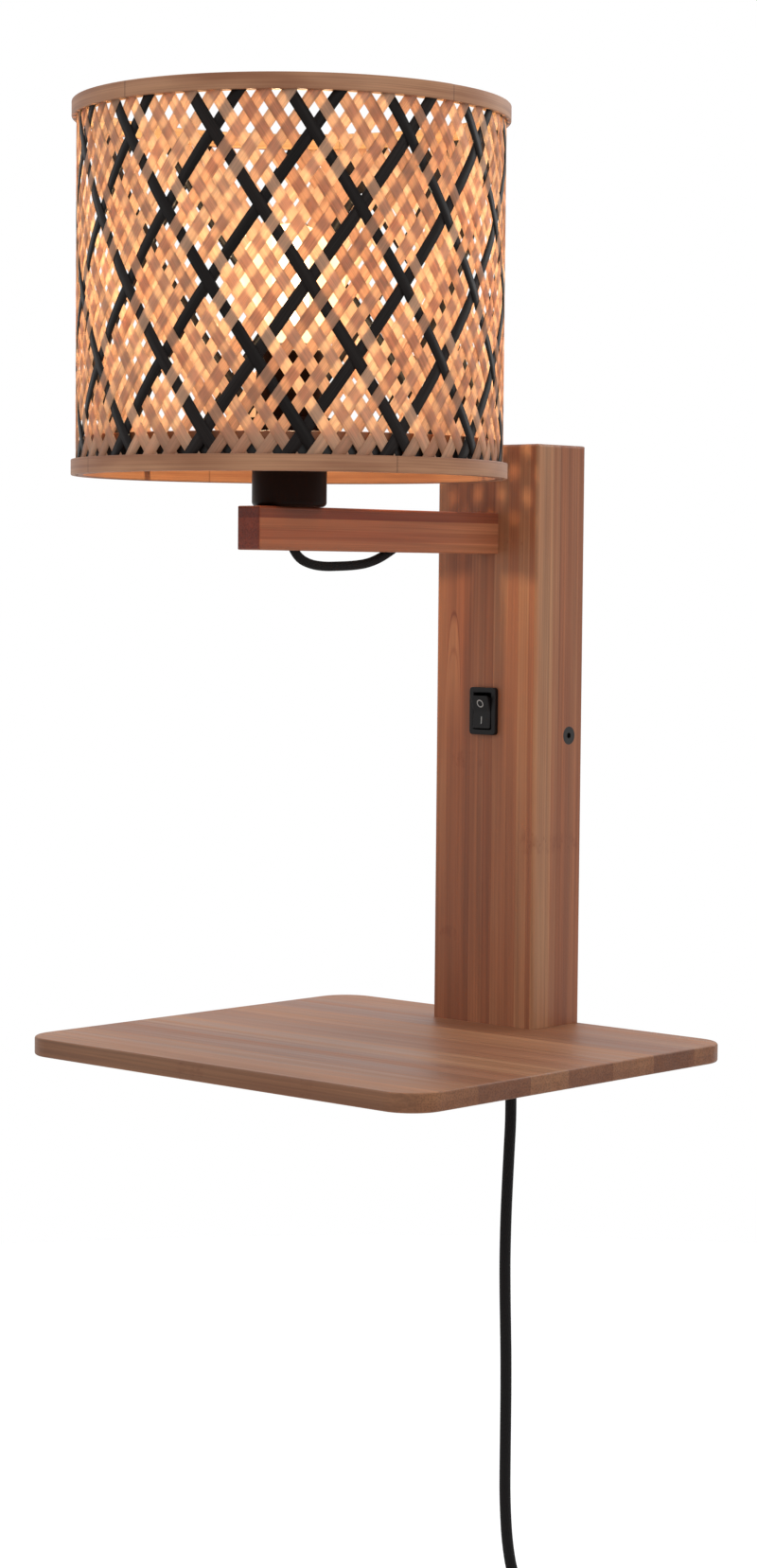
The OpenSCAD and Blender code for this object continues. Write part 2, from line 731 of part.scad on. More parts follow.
// Rocker at rest in its ON place: the lower end is pressed, the upper end stands out
module switch_rocker() color("#202020") translate([0, hinge_y, switch_z]) {
  rotate([rocker_throw / 2, 0, 0]) rotate([90, 0, 90])
    linear_extrude(rocker_w, center = true) polygon([
      [2, -rocker_h / 2 + 2.6], [-3.4, -rocker_h / 2], [-2, 0], [-3.4, rocker_h / 2],
      [2, rocker_h / 2 - 2.6]
    ]);
  rotate([0, 90, 0]) cylinder(r = nub_r, h = housing_w, center = true);
}

module switch_terminals() color("goldenrod") for (s = [-1, 1])
  translate([0, -(housing_back + tab_end) / 2, switch_z + s * 5]) difference() {
    cube([tab_w, housing_back - tab_end, tab_t], center = true);
    translate([0, 2, -past]) cylinder(r = 0.8, h = 2 * past);
  }

module switch_wires() color("firebrick") for (route = wire_routes)
  tube(route, wire_r, 6, [1, 0, 0]);

// ---- wiring in the channel ----

module terminal_block() color("ivory") difference() {
  block([-block_w / 2, channel_y, block_z[0]], [block_w / 2, channel_y + block_d, block_z[1]]);
  for (s = [-1, 1])
    rod([s * 5, channel_y + block_d + past, (block_z[0] + block_z[1]) / 2], [90, 0, 0], 2, 5);
  rod([0, channel_y + block_d + past, (block_z[0] + block_z[1]) / 2], [90, 0, 0], 1.3, block_d + 2 * past);
}

// Saddle that grips the lead in the channel
module cord_clamp() color("ivory") difference() {
  union() {
    block([-clamp_w / 2, channel_y, clamp_z[0]], [clamp_w / 2, channel_y + 4, clamp_z[1]]);
    block([-5, channel_y, clamp_z[0]], [5, -lead_out, clamp_z[1]]);
    translate([0, -lead_out, clamp_z[0]]) cylinder(r = 5, h = clamp_z[1] - clamp_z[0]);
  }
  translate([0, -lead_out, clamp_z[0] - past])
    cylinder(r = lead_d / 2 + skin, h = clamp_z[1] - clamp_z[0] + 2 * past);
  for (s = [-1, 1])
    rod([s * 10, channel_y - past, (clamp_z[0] + clamp_z[1]) / 2], [-90, 0, 0], 1.3, 6);
}

// Two screws of the saddle and the one of the terminal block
module inner_screws() color("silver") {
  for (s = [-1, 1])
    translate([s * 10, channel_y + 4, (clamp_z[0] + clamp_z[1]) / 2]) rotate([-90, 0, 0])
      pan_screw([1.25, 2.4, 1.4], 4);
  translate([0, channel_y + block_d, (block_z[0] + block_z[1]) / 2]) rotate([-90, 0, 0])
    pan_screw([1.25, 2.2, 1.4], block_d);
}

module arm_cable() color("#151515") tube(cable_route, cable_d / 2, 8, [1, 0, 0]);

module lead_inside() color("#151515")
  translate([0, -lead_out, shelf_low - relief_tail])
    cylinder(r = lead_d / 2, h = block_z[0] - shelf_low + relief_tail);

// Strain relief: a lip in the channel, a neck through the shelf, a flange and a ribbed taper
module cord_relief() color("#161616") translate([0, -lead_out, 0]) difference() {
  union() {
    translate([0, 0, seat_z]) cylinder(r1 = 5.4, r2 = 4.6, h = 2);
    translate([0, 0, shelf_low]) cylinder(r = 4.5, h = shelf_t - seat_d);
    translate([0, 0, shelf_low - 2]) cylinder(r1 = 6.2, r2 = 6.8, h = 2);
    translate([0, 0, shelf_low - relief_tail]) cylinder(r1 = 3.5, r2 = 5, h = relief_tail - 2);
    for (n = [1 : 6])
      translate([0, 0, shelf_low - relief_tail + n * 3.2])
        cylinder(r = 3.8 + n * 0.22, h = 1.5);
  }
  translate([0, 0, shelf_low - relief_tail - past])
    cylinder(r = lead_d / 2 + skin, h = relief_tail + shelf_t + 4);
}

// ---- free lead ----

module mains_cord() color("#151515") tube(lead_route, lead_d / 2, 8, [1, 0, 0]);

function ease_in_out(u) = let (t = max(0, min(1, u))) t * t * (3 - 2 * t);

// Point of the coil after s turns: it spirals in and out, and climbs a layer at each reversal
function coil_point(s) =
  let (
    k = s / layer_turns,
    inward = k - 2 * floor(k / 2),
    r = coil_r - (inward < 1 ? inward : 2 - inward) * (coil_r - coil_in),
    climbed = ease_in_out(2 * (s - layer_turns) + 0.5)
      + ease_in_out(2 * (s - 2 * layer_turns) + 0.5)
      + ease_in_out(2 * (s - 3 * layer_turns) + 0.5),
    a = coil_start - 360 * s
  )
  [coil_x + r * cos(a), -wall_gap - coil_step * climbed, coil_z + r * sin(a)];

winding = [for (i = [0 : coil_turns * loop_rings]) coil_point(i / loop_rings)];
coil_exit = [winding[len(winding) - 1].x, coil_front, plug_top];
coil_path = [lead_end, each winding, coil_exit];

// Least distance between turns, from the points that lie more than half a turn apart
coil_gap = min([
  for (i = [0 : len(winding) - 1], j = [i + loop_rings / 2 : len(winding) - 1])
    norm(winding[i] - winding[j])
]) - lead_d;
echo(coil_gap = coil_gap);

module cord_coil() color("#151515") tube(coil_path, lead_d / 2, 6, [0, 1, 0]);

// Strap round the bundle of turns
module cord_tie() color("#303030") translate([coil_x, 0, coil_z]) rotate([0, -tie_turn, 0]) {
  low = [coil_in - lead_d / 2 - 0.7, coil_front - lead_d / 2 - 0.1, 0];
  high = [coil_r + lead_d / 2 + 0.2, -wall_gap + lead_d / 2 + 0.1, 0];
  wall = [tie_t, tie_t, tie_w / 2];
  difference() {
    eased_tie(low - wall, high + wall);
    block(low - [0, 0, tie_w], high + [0, 0, tie_w]);
  }
}

// Outside of the strap: a block with its four long edges rounded
module eased_tie(low, high) {
  translate([(low.x + high.x) / 2, (low.y + high.y) / 2, low.z])
    linear_extrude(high.z - low.z) round_rect(high.x - low.x, high.y - low.y, 0.9);
}

// Flat two-pin plug, hanging from the end of the lead
module plug_body() color("#161616") translate([coil_exit.x, coil_front, plug_top]) {
  translate([0, 0, -plug_relief]) cylinder(r1 = 5, r2 = 3.4, h = plug_relief);
  translate([0, 0, -plug_relief - plug_l]) intersection() {
    rotate([90, 0, 0]) linear_extrude(plug_t, center = true) plug_outline();
    linear_extrude(plug_l) round_rect(plug_w, plug_t, 3.5);
  }
}

// Front outline of the plug: straight sides below, sloping shoulders above, eased corners
module plug_outline() {
  corner = 2;
  half = plug_w / 2 - corner;
  polygon([
    [-half, 0], [half, 0], [plug_w / 2, corner], [plug_w / 2, plug_l * 0.4],
    [plug_w / 2 - 0.8, plug_l * 0.46], [6.5, plug_l - 0.8], [5.5, plug_l],
    [-5.5, plug_l], [-6.5, plug_l - 0.8], [0.8 - plug_w / 2, plug_l * 0.46],
    [-plug_w / 2, plug_l * 0.4], [-plug_w / 2, corner]
  ]);
}

module plug_pins() color("silver") for (s = [-1, 1])
  translate([coil_exit.x + s * pin_gap / 2, coil_front, plug_top - plug_relief - plug_l - pin_l]) {
    translate([0, 0, 1]) cylinder(r = pin_r, h = pin_l - 1);
    cylinder(r1 = pin_r - 0.8, r2 = pin_r, h = 1);
  }

post();
shelf();
shelf_screws();
wall_bracket();
bracket_nuts();
side_screws();
arm();
arm_screw();
holder_cup();
holder_screws();
socket_body();
socket_contacts();
shade_ring();
shade_spider();
hoop_bottom_outer();
hoop_bottom_inner();
hoop_keeper();
hoop_top_outer();
hoop_top_inner();
weave_left_natural();
weave_left_black();
weave_right_natural();
weave_right_black();
bulb_glass();
bulb_cap();
bulb_tip();
switch_housing();
switch_rocker();
switch_terminals();
switch_wires();
terminal_block();
cord_clamp();
inner_screws();
arm_cable();
lead_inside();
cord_relief();
mains_cord();
cord_coil();
cord_tie();
plug_body();
plug_pins();
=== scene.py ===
import math
import random

import bmesh
import bpy
from mathutils import Matrix, Vector


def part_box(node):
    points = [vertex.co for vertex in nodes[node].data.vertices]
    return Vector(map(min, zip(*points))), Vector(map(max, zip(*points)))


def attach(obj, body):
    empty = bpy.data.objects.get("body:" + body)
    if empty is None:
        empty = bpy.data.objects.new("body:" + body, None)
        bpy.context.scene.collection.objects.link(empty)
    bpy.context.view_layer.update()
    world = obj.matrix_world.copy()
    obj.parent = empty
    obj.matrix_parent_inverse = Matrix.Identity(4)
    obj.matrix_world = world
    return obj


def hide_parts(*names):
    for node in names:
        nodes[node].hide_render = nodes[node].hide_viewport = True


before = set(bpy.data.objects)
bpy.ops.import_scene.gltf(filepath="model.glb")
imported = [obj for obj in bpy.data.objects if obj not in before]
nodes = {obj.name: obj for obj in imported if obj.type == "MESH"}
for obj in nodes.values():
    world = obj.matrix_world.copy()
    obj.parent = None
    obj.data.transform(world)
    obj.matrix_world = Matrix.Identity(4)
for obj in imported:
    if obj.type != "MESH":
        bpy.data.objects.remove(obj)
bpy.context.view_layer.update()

# Wall lamp with a shelf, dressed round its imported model. Metres; x is right, y goes into the wall, z is up.
random.seed(7)


def addObject(name, data):
    made = bpy.data.objects.new(name, data)
    bpy.context.collection.objects.link(made)
    return made


# ---- camera ----

cameraLook = {
    "place": (0.926763, -1.119943, 0.069326),
    "heading": 42.336,
    "tilt": -3.677,
    "roll": 0.503,
    "focalPixels": 3400.42,
    "pictureHeight": 1657,
}


def addCamera(look):
    data = bpy.data.cameras.new("photoCamera")
    camera = addObject("photoCamera", data)
    data.sensor_fit = "VERTICAL"
    data.sensor_height = 36
    data.lens = 36 * look["focalPixels"] / look["pictureHeight"]
    turn = Matrix.Rotation(math.radians(look["heading"]), 4, "Z")
    turn = turn @ Matrix.Rotation(math.radians(90 + look["tilt"]), 4, "X")
    turn = turn @ Matrix.Rotation(math.radians(look["roll"]), 4, "Z")
    camera.matrix_world = Matrix.Translation(look["place"]) @ turn
    bpy.context.scene.camera = camera


addCamera(cameraLook)
print("camera in place")


# ---- material helpers ----

def toLinear(value):
    value = value / 255
    return value / 12.92 if value <= 0.04045 else ((value + 0.055) / 1.055) ** 2.4


def colour(red, green, blue):
    return (toLinear(red), toLinear(green), toLinear(blue), 1)


# A node in a tree: each socket gets a value or the output of another node
def addNode(tree, kind, sockets=None, **settings):
    made = tree.nodes.new(kind)
    for name, value in settings.items():
        setattr(made, name, value)
    for socket, value in (sockets or {}).items():
        if isinstance(value, bpy.types.NodeSocket):
            tree.links.new(value, made.inputs[socket])
        else:
            made.inputs[socket].default_value = value
    return made


def scaled(base, factor):
    return tuple(min(1, part * factor) for part in base[:3]) + (1,)


class Finish:
    # A material and short ways to add nodes to it
    def __init__(self, name, **shaderValues):
        self.material = bpy.data.materials.new(name)
        self.material.use_nodes = True
        self.tree = self.material.node_tree
        self.shader = self.tree.nodes["Principled BSDF"]
        for socket, value in shaderValues.items():
            self.shader.inputs[socket.replace("_", " ")].default_value = value

    def node(self, kind, sockets=None, **settings):
        return addNode(self.tree, kind, sockets, **settings)

    def link(self, source, socket):
        self.tree.links.new(source, self.shader.inputs[socket])

    def show(self, shader):
        self.tree.links.new(shader.outputs[0], self.tree.nodes["Material Output"].inputs["Surface"])

    def coordinate(self, kind):
        return self.node("ShaderNodeTexCoord").outputs[kind]

    def parts(self, vector):
        return self.node("ShaderNodeSeparateXYZ", {0: vector}).outputs

    def joined(self, x, y=0.0, z=0.0):
        return self.node("ShaderNodeCombineXYZ", {0: x, 1: y, 2: z}).outputs[0]

    def vector(self, operation, first, second):
        return self.node("ShaderNodeVectorMath", {0: first, 1: second}, operation=operation).outputs[0]

    def calc(self, operation, first, second=0.0, third=0.0, clamp=False):
        values = {0: first, 1: second, 2: third}
        return self.node("ShaderNodeMath", values, operation=operation, use_clamp=clamp).outputs[0]

    def times(self, first, second):
        return self.calc("MULTIPLY", first, second)

    def plus(self, first, second):
        return self.calc("ADD", first, second)

    def mix(self, share, first, second, blend="MIX"):
        made = self.node("ShaderNodeMix", {0: share, 6: first, 7: second}, data_type="RGBA", blend_type=blend)
        return made.outputs[2]

    def place(self, source, scale):
        return self.node("ShaderNodeMapping", {"Vector": source, "Scale": scale}).outputs[0]

    def noise(self, source, scale, detail=2.0, roughness=0.5):
        sockets = {"Vector": source, "Scale": scale, "Detail": detail, "Roughness": roughness}
        return self.node("ShaderNodeTexNoise", sockets).outputs["Fac"]

    # Noise drawn out by its own scale along each axis
    def streaks(self, source, scales, detail=2.0, roughness=0.5):
        return self.noise(self.place(source, scales), 1.0, detail, roughness)

    def cells(self, source, scale):
        return self.node("ShaderNodeTexVoronoi", {"Vector": source, "Scale": scale}).outputs["Distance"]

    def spread(self, value, low, high, toLow=0.0, toHigh=1.0, smooth=False):
        kind = "SMOOTHSTEP" if smooth else "LINEAR"
        sockets = {0: value, 1: low, 2: high, 3: toLow, 4: toHigh}
        return self.node("ShaderNodeMapRange", sockets, interpolation_type=kind).outputs[0]

    def ramp(self, value, stops, interpolation="LINEAR"):
        made = self.node("ShaderNodeValToRGB", {"Fac": value})
        band = made.color_ramp
        band.interpolation = interpolation
        while len(band.elements) < len(stops):
            band.elements.new(0.5)
        for element, (place, tone) in zip(band.elements, stops):
            element.position = place
            element.color = tone if isinstance(tone, tuple) else (tone, tone, tone, 1)
        return made.outputs["Color"]

    def bump(self, height, distance, strength=1.0):
        made = self.node("ShaderNodeBump", {"Height": height, "Distance": distance, "Strength": strength})
        self.link(made.outputs[0], "Normal")

    # A colour made darker or paler by a grey value
    def shade(self, ground, value):
        grey = self.node("ShaderNodeCombineColor", {0: value, 1: value, 2: value}).outputs[0]
        return self.mix(1.0, ground, grey, "MULTIPLY")

    def blendWith(self, other, share):
        sockets = {0: share, 1: self.shader.outputs[0], 2: other.outputs[0]}
        self.show(self.node("ShaderNodeMixShader", sockets))

    # The share of light that shines through a thin piece, tinted on its way
    def letThrough(self, ground, tint, share):
        if not share:
            return
        warm = self.mix(1.0, ground, tint, "MULTIPLY")
        thin = self.node("ShaderNodeBsdfTranslucent", {"Color": warm})
        self.blendWith(thin, share)

    # An arch of grain where a lamination is cut at a slant: a dark outline, paler inside
    def arch(self, ground, grain, across, top, halfWidth, length, lineColour):
        split = self.parts(grain)
        aside = self.spread(split[0], across, across + halfWidth, 0.0, 1.0)
        left = self.spread(split[0], across, across - halfWidth, 0.0, 1.0)
        aside = self.plus(aside, left)
        down = self.calc("DIVIDE", self.calc("SUBTRACT", top, split[2]), length)
        depth = self.calc("SUBTRACT", down, self.calc("POWER", aside, 3.0))
        near = self.times(self.calc("LESS_THAN", aside, 0.999), self.spread(down, 1.0, 0.5))
        outline = self.spread(self.calc("ABSOLUTE", depth), 0.035, 0.0, 0.0, 0.6, True)
        second = self.calc("ABSOLUTE", self.calc("SUBTRACT", depth, 0.3))
        inner = self.spread(second, 0.05, 0.0, 0.0, 0.3, True)
        marked = self.times(near, self.plus(outline, inner))
        paler = self.times(near, self.spread(depth, 0.0, 0.1, 0.0, 0.22, True))
        ground = self.mix(paler, ground, (0.62, 0.29, 0.14, 1))
        return self.mix(marked, ground, lineColour)

    # The marks of a joint of the cane: dark flecks in a short row that bends a little
    def knot(self, ground, ordered, across, place, width, height, markColour):
        flat = self.vector("SUBTRACT", ordered, (across, 0, place))
        split = self.parts(self.place(flat, (1 / width, 0, 1 / height)))
        curve = self.calc("POWER", self.calc("ABSOLUTE", split[0]), 2.0)
        bent = self.calc("MULTIPLY_ADD", curve, 0.5, split[2])
        away = self.joined(split[0], 0.0, bent)
        length = self.node("ShaderNodeVectorMath", {0: away}, operation="LENGTH").outputs["Value"]
        spot = self.spread(length, 1.0, 0.65, 0.0, 1.0, True)
        cells = self.cells(self.place(ordered, (1, 1, 0.5)), 640.0)
        flecks = self.spread(cells, 0.34, 0.1, 0.0, 0.7, True)
        ragged = self.spread(self.streaks(ordered, (500, 500, 160), 3.0), 0.45, 0.65, 0.0, 0.6)
        marked = self.calc("MULTIPLY", spot, self.calc("ADD", flecks, ragged, clamp=True))
        return self.mix(self.times(marked, 0.34), ground, markColour)


# Laminated bamboo: the grain runs along one axis, and the laminations lie beside each other across it
def bambooFinish(name, look):
    made = Finish(name, Specular_IOR_Level=0.3)
    along = look["along"]
    first, second = look["across"]
    split = made.parts(made.coordinate("Object"))
    ordered = made.joined(split[first], split[second], split[along])
    sway = made.times(made.streaks(ordered, (9, 9, 3), 1.0), 0.004)
    drift = made.joined(sway, sway)
    grain = made.vector("ADD", ordered, drift)
    fibre = made.streaks(grain, (1700, 1700, 9), 3.0, 0.62)
    line = made.streaks(grain, (760, 760, 4), 1.0, 0.5)
    streak = made.streaks(grain, (240, 240, 3), 2.0, 0.55)
    cloud = made.streaks(grain, (60, 60, 8), 2.0, 0.5)
    tones = []
    for axis, edges in zip((first, second), look["laminations"]):
        span = edges[-1][0] - edges[0][0]
        stops = [((edge - edges[0][0]) / span, tone) for edge, tone in edges[:-1]]
        place = made.spread(split[axis], edges[0][0], edges[-1][0])
        tones.append(made.ramp(place, stops, "CONSTANT"))
    if look["frontLayer"]:
        behind = made.calc("GREATER_THAN", split[second], look["frontLayer"])
        tone = made.mix(behind, tones[0], tones[1])
    else:
        tone = made.mix(1.0, tones[0], tones[1], "MULTIPLY")
    tone = made.plus(made.times(tone, 0.6), made.times(cloud, 0.4))
    ground = made.ramp(tone, look["colours"])
    for value, low, high, dark, light in ((streak, 0.28, 0.72, 0.84, 1.12), (line, 0.3, 0.7, 0.86, 1.1),
                                          (fibre, 0.3, 0.7, 0.86, 1.1)):
        ground = made.shade(ground, made.spread(value, low, high, dark, light))
    for across, top, halfWidth, length in look["arches"]:
        ground = made.arch(ground, grain, across, top, halfWidth, length, look["knotColour"])
    for across, place, width, height in look["knots"]:
        ground = made.knot(ground, ordered, across, place, width, height, look["knotColour"])
    # End grain: dark ends of the fibres on the faces that the grain runs into
    normal = made.parts(made.coordinate("Normal"))
    facing = made.calc("ABSOLUTE", normal[along])
    ends = made.spread(facing, 0.55, 0.9, 0.0, 1.0, True)
    cells = made.cells(ordered, 1300.0)
    blocks = made.ramp(tone, look["endColours"])
    endGround = made.shade(blocks, made.spread(cells, 0.15, 0.6, 0.62, 1.05))
    # Painted shade: faces that don't face up or down are made darker by this share, for the lesser light on a
    # board's sides than on its top
    if look["paintedSideShade"]:
        edge = made.spread(made.calc("ABSOLUTE", normal[2]), 0.9, 0.5, 0.0, look["paintedSideShade"], True)
        ground = made.shade(ground, made.calc("SUBTRACT", 1.0, edge))
    made.link(made.mix(ends, ground, endGround), "Base Color")
    made.link(made.spread(streak, 0.3, 0.7, 0.40, 0.56), "Roughness")
    made.bump(made.plus(fibre, line), 0.00012, 0.6)
    return made.material


postLook = {
    "along": 2,
    "across": (0, 1),
    "frontLayer": -0.022,
    "laminations": (
        [(-0.029, 0.38), (-0.0225, 0.17), (-0.0085, 0.36), (-0.001, 0.14), (0.0045, 0.46), (0.0125, 0.34),
         (0.0185, 0.55), (0.0245, 0.32), (0.0275, 0.6), (0.029, 0)],
        [(-0.033, 1.0), (-0.022, 0.45), (-0.0175, 0.2), (-0.009, 0.4), (-0.0045, 0.2), (0.0, 0)],
    ),
    "colours": [(0.15, colour(128, 73, 49)), (0.45, colour(160, 101, 69)), (0.78, colour(186, 144, 106))],
    "endColours": [(0.2, colour(118, 70, 48)), (0.7, colour(164, 112, 78))],
    "arches": [(-0.0164, 0.0535, 0.0052, 0.055)],
    "knots": [(0.0155, 0.084, 0.0105, 0.0035), (-0.011, -0.0115, 0.0135, 0.0045),
              (0.0255, -0.046, 0.0055, 0.007), (0.008, 0.121, 0.006, 0.004), (-0.02, -0.09, 0.007, 0.004)],
    "knotColour": colour(96, 40, 26),
    "paintedSideShade": 0,
}
shelfLook = {
    "along": 0,
    "across": (1, 2),
    "frontLayer": 0,
    "laminations": (
        [(-0.206, 0.62), (-0.1685, 0.34), (-0.1365, 0.7), (-0.112, 0.45), (-0.083, 0.62), (-0.056, 0.3),
         (-0.028, 0.58), (0.0, 0)],
        [(-0.1375, 0.85), (-0.133, 1.0), (-0.1285, 0)],
    ),
    "colours": [(0.15, colour(120, 74, 50)), (0.45, colour(144, 95, 66)), (0.75, colour(168, 120, 86))],
    # End grain is darker of itself; these end colours are darker still, painted shade for the shelf's sides
    "endColours": [(0.2, colour(96, 55, 36)), (0.45, colour(120, 74, 48)), (0.7, colour(152, 104, 70))],
    "arches": [],
    "knots": [(-0.206, -0.0087, 0.012, 0.009), (-0.206, 0.0566, 0.012, 0.004)],
    "knotColour": colour(110, 54, 36),
    "paintedSideShade": 0.3,
}
armLook = {
    "along": 1,
    "across": (0, 2),
    "frontLayer": 0,
    "laminations": (
        [(-0.0065, 0.9), (0.0, 1.0), (0.0065, 0)],
        [(0.08, 0.66), (0.0842, 0.42), (0.0885, 0.62), (0.0932, 0.0), (0.098, 0)],
    ),
    "colours": [(0.15, colour(122, 60, 40)), (0.42, colour(160, 94, 64)), (0.7, colour(180, 116, 80))],
    "endColours": [(0.2, colour(92, 38, 26)), (0.7, colour(126, 58, 40))],
    "arches": [],
    "knots": [],
    "knotColour": colour(92, 42, 28),
    "paintedSideShade": 0,
}


# Bamboo bent round a hoop: the fibres follow the piece's own UV map, in metres
def hoopFinish(name, light, dark, through):
    made = Finish(name, Roughness=0.5, Specular_IOR_Level=0.3)
    along = made.coordinate("UV")
    fibre = made.streaks(along, (14, 2400, 1), 3.0, 0.6)
    streak = made.streaks(along, (5, 420, 1), 2.0, 0.5)
    cloud = made.streaks(along, (22, 90, 1), 2.0, 0.5)
    tone = made.plus(made.times(streak, 0.45), made.times(cloud, 0.55))
    ground = made.ramp(tone, [(0.36, dark), (0.62, light)])
    # A thin darker joint of the cane every so often
    turns = made.parts(along)[0]
    joint = made.calc("PINGPONG", made.plus(turns, made.times(fibre, 0.0006)), 0.071)
    joint = made.spread(joint, 0.0006, 0.0, 0.0, 0.4, True)
    lines = made.calc("SUBTRACT", made.spread(fibre, 0.3, 0.7, 0.8, 1.12), joint)
    ground = made.shade(ground, lines)
    made.link(ground, "Base Color")
    made.bump(fibre, 0.0001, 0.5)
    made.letThrough(ground, (1.0, 0.62, 0.40, 1), through)
    return made.material


# Split bamboo strip: grain along its own UV map, a tone for each strip, and light that shines through
def stripFinish(name, look):
    made = Finish(name, Roughness=look["roughness"], Specular_IOR_Level=look["gloss"])
    uv = made.coordinate("UV")
    tone = made.node("ShaderNodeAttribute", attribute_name="tone").outputs["Fac"]
    own = made.joined(made.times(tone, 3.7), made.times(tone, 9.1))
    moved = made.vector("ADD", uv, own)
    fibre = made.streaks(moved, (3600, 26, 1), 2.0, 0.6)
    streak = made.streaks(moved, (900, 9, 1), 2.0, 0.5)
    cloud = made.streaks(moved, (200, 40, 1), 1.0, 0.5)
    mixed = made.plus(made.times(tone, 0.75), made.times(cloud, 0.25))
    ground = made.mix(mixed, look["dark"], look["light"])
    lines = made.times(made.spread(fibre, 0.3, 0.7, look["low"], look["high"]),
                     made.spread(streak, 0.3, 0.7, 0.9, 1.07))
    ground = made.shade(ground, lines)
    made.link(ground, "Base Color")
    made.bump(fibre, 0.00008, 0.6)
    # Some strips are split thinner than others and let more light through
    passing = made.spread(made.calc("FRACT", made.times(tone, 7.3)), 0.0, 1.0, 0.84, 1.1)
    passed = made.shade(ground, passing)
    made.letThrough(passed, look["throughColour"], look["through"])
    return made.material


# Moulded plastic or paint: a fine even texture and a slight change of gloss
def mouldedFinish(name, base, roughness, grainSize, depth, gloss=0.5):
    made = Finish(name, Specular_IOR_Level=gloss)
    place = made.coordinate("Object")
    grain = made.noise(place, 1 / grainSize, 2.0)
    cloud = made.noise(place, 60.0, 2.0)
    made.link(made.mix(cloud, scaled(base, 0.82), base), "Base Color")
    made.link(made.spread(cloud, 0.3, 0.7, roughness - 0.05, roughness + 0.06), "Roughness")
    made.bump(grain, depth, 0.5)
    return made.material


# Plated or bare metal with faint drawn lines and duller patches
def metalFinish(name, base, roughness, lines):
    made = Finish(name, Metallic=1.0)
    place = made.coordinate("Object")
    drawn = made.streaks(place, lines, 2.0)
    cloud = made.noise(place, 140.0, 3.0)
    made.link(made.mix(cloud, scaled(base, 0.75), base), "Base Color")
    made.link(made.spread(drawn, 0.3, 0.7, roughness - 0.07, roughness + 0.1), "Roughness")
    made.bump(drawn, 0.00002, 0.4)
    return made.material


# Textile braid over a cord, on the cord's own UV map: u once round, v in metres along it
def braidFinish(name, base, strands, pitch):
    made = Finish(name, Roughness=0.75, Specular_IOR_Level=0.15, Sheen_Weight=0.06, Sheen_Roughness=0.4)
    split = made.parts(made.coordinate("UV"))
    around = made.times(split[0], strands)
    climb = made.calc("DIVIDE", split[1], pitch)
    ridges = []
    for way in (1, -1):
        turned = made.plus(around, made.times(climb, way))
        wave = made.calc("SINE", made.times(turned, 2 * math.pi))
        ridges.append(made.spread(wave, -1.0, 1.0))
    over = made.calc("MAXIMUM", ridges[0], ridges[1])
    under = made.calc("MINIMUM", ridges[0], ridges[1])
    weaveHeight = made.plus(made.times(over, 0.7), made.times(under, 0.3))
    fuzz = made.streaks(made.coordinate("UV"), (40, 2500, 1), 2.0)
    # Painted shade and highlight: the colour is darker down between the strands and paler on their crowns
    tone = made.calc("MULTIPLY", made.calc("MULTIPLY", weaveHeight, fuzz), 1.1, clamp=True)
    made.link(made.mix(tone, base, scaled(base, 2.4)), "Base Color")
    made.bump(weaveHeight, 0.00022, 0.8)
    return made.material


# Lit from inside: warm, a little cloudy, and see-through by the given share
def litFinish(name, pale, deep, strength, clear):
    made = Finish(name, Roughness=0.2)
    cloud = made.noise(made.coordinate("Object"), 90.0, 2.0)
    warm = made.mix(cloud, deep, pale)
    made.link(warm, "Base Color")
    made.link(warm, "Emission Color")
    made.shader.inputs["Emission Strength"].default_value = strength
    if clear:
        made.blendWith(made.node("ShaderNodeBsdfTransparent"), clear)
    return made.material


postBamboo = bambooFinish("postBamboo", postLook)
shelfBamboo = bambooFinish("shelfBamboo", shelfLook)
armBamboo = bambooFinish("armBamboo", armLook)
hoopBamboo = hoopFinish("hoopBamboo", colour(181, 132, 98), colour(144, 95, 67), 0.0)
hoopInside = hoopFinish("hoopInside", colour(172, 118, 83), colour(142, 90, 62), 0.1)
hoopInsideTop = hoopFinish("hoopInsideTop", colour(206, 164, 118), colour(176, 130, 88), 0.1)
naturalStrip = stripFinish("naturalStrip", {
    "light": colour(248, 208, 178), "dark": colour(218, 164, 132), "roughness": 0.5, "gloss": 0.3,
    "low": 0.82, "high": 1.1, "through": 0.6, "throughColour": (0.98, 1.18, 1.22, 1)})
blackStrip = stripFinish("blackStrip", {
    "light": colour(30, 24, 22), "dark": colour(15, 11, 10), "roughness": 0.5, "gloss": 0.12,
    "low": 0.5, "high": 1.6, "through": 0, "throughColour": (1, 1, 1, 1)})
holderPlastic = mouldedFinish("holderPlastic", colour(24, 10, 5), 0.4, 0.0006, 0.00003, 0.06)
switchPlastic = mouldedFinish("switchPlastic", colour(18, 15, 15), 0.42, 0.0005, 0.00003, 0.2)
framePaint = mouldedFinish("framePaint", colour(22, 19, 18), 0.42, 0.0008, 0.00004, 0.3)
cordRubber = mouldedFinish("cordRubber", colour(18, 17, 17), 0.55, 0.0005, 0.00003, 0.3)
ivoryPlastic = mouldedFinish("ivoryPlastic", colour(226, 220, 204), 0.4, 0.0007, 0.00002)
wireRubber = mouldedFinish("wireRubber", colour(150, 30, 26), 0.4, 0.0005, 0.00002)
markPaint = mouldedFinish("markPaint", colour(178, 176, 172), 0.5, 0.0003, 0.00001)
tipResin = mouldedFinish("tipResin", colour(52, 46, 42), 0.35, 0.0006, 0.00002)
blackScrew = mouldedFinish("blackScrew", colour(30, 26, 24), 0.38, 0.0004, 0.00004, 0.3)
platedSteel = metalFinish("platedSteel", colour(188, 190, 192), 0.34, (40, 40, 900))
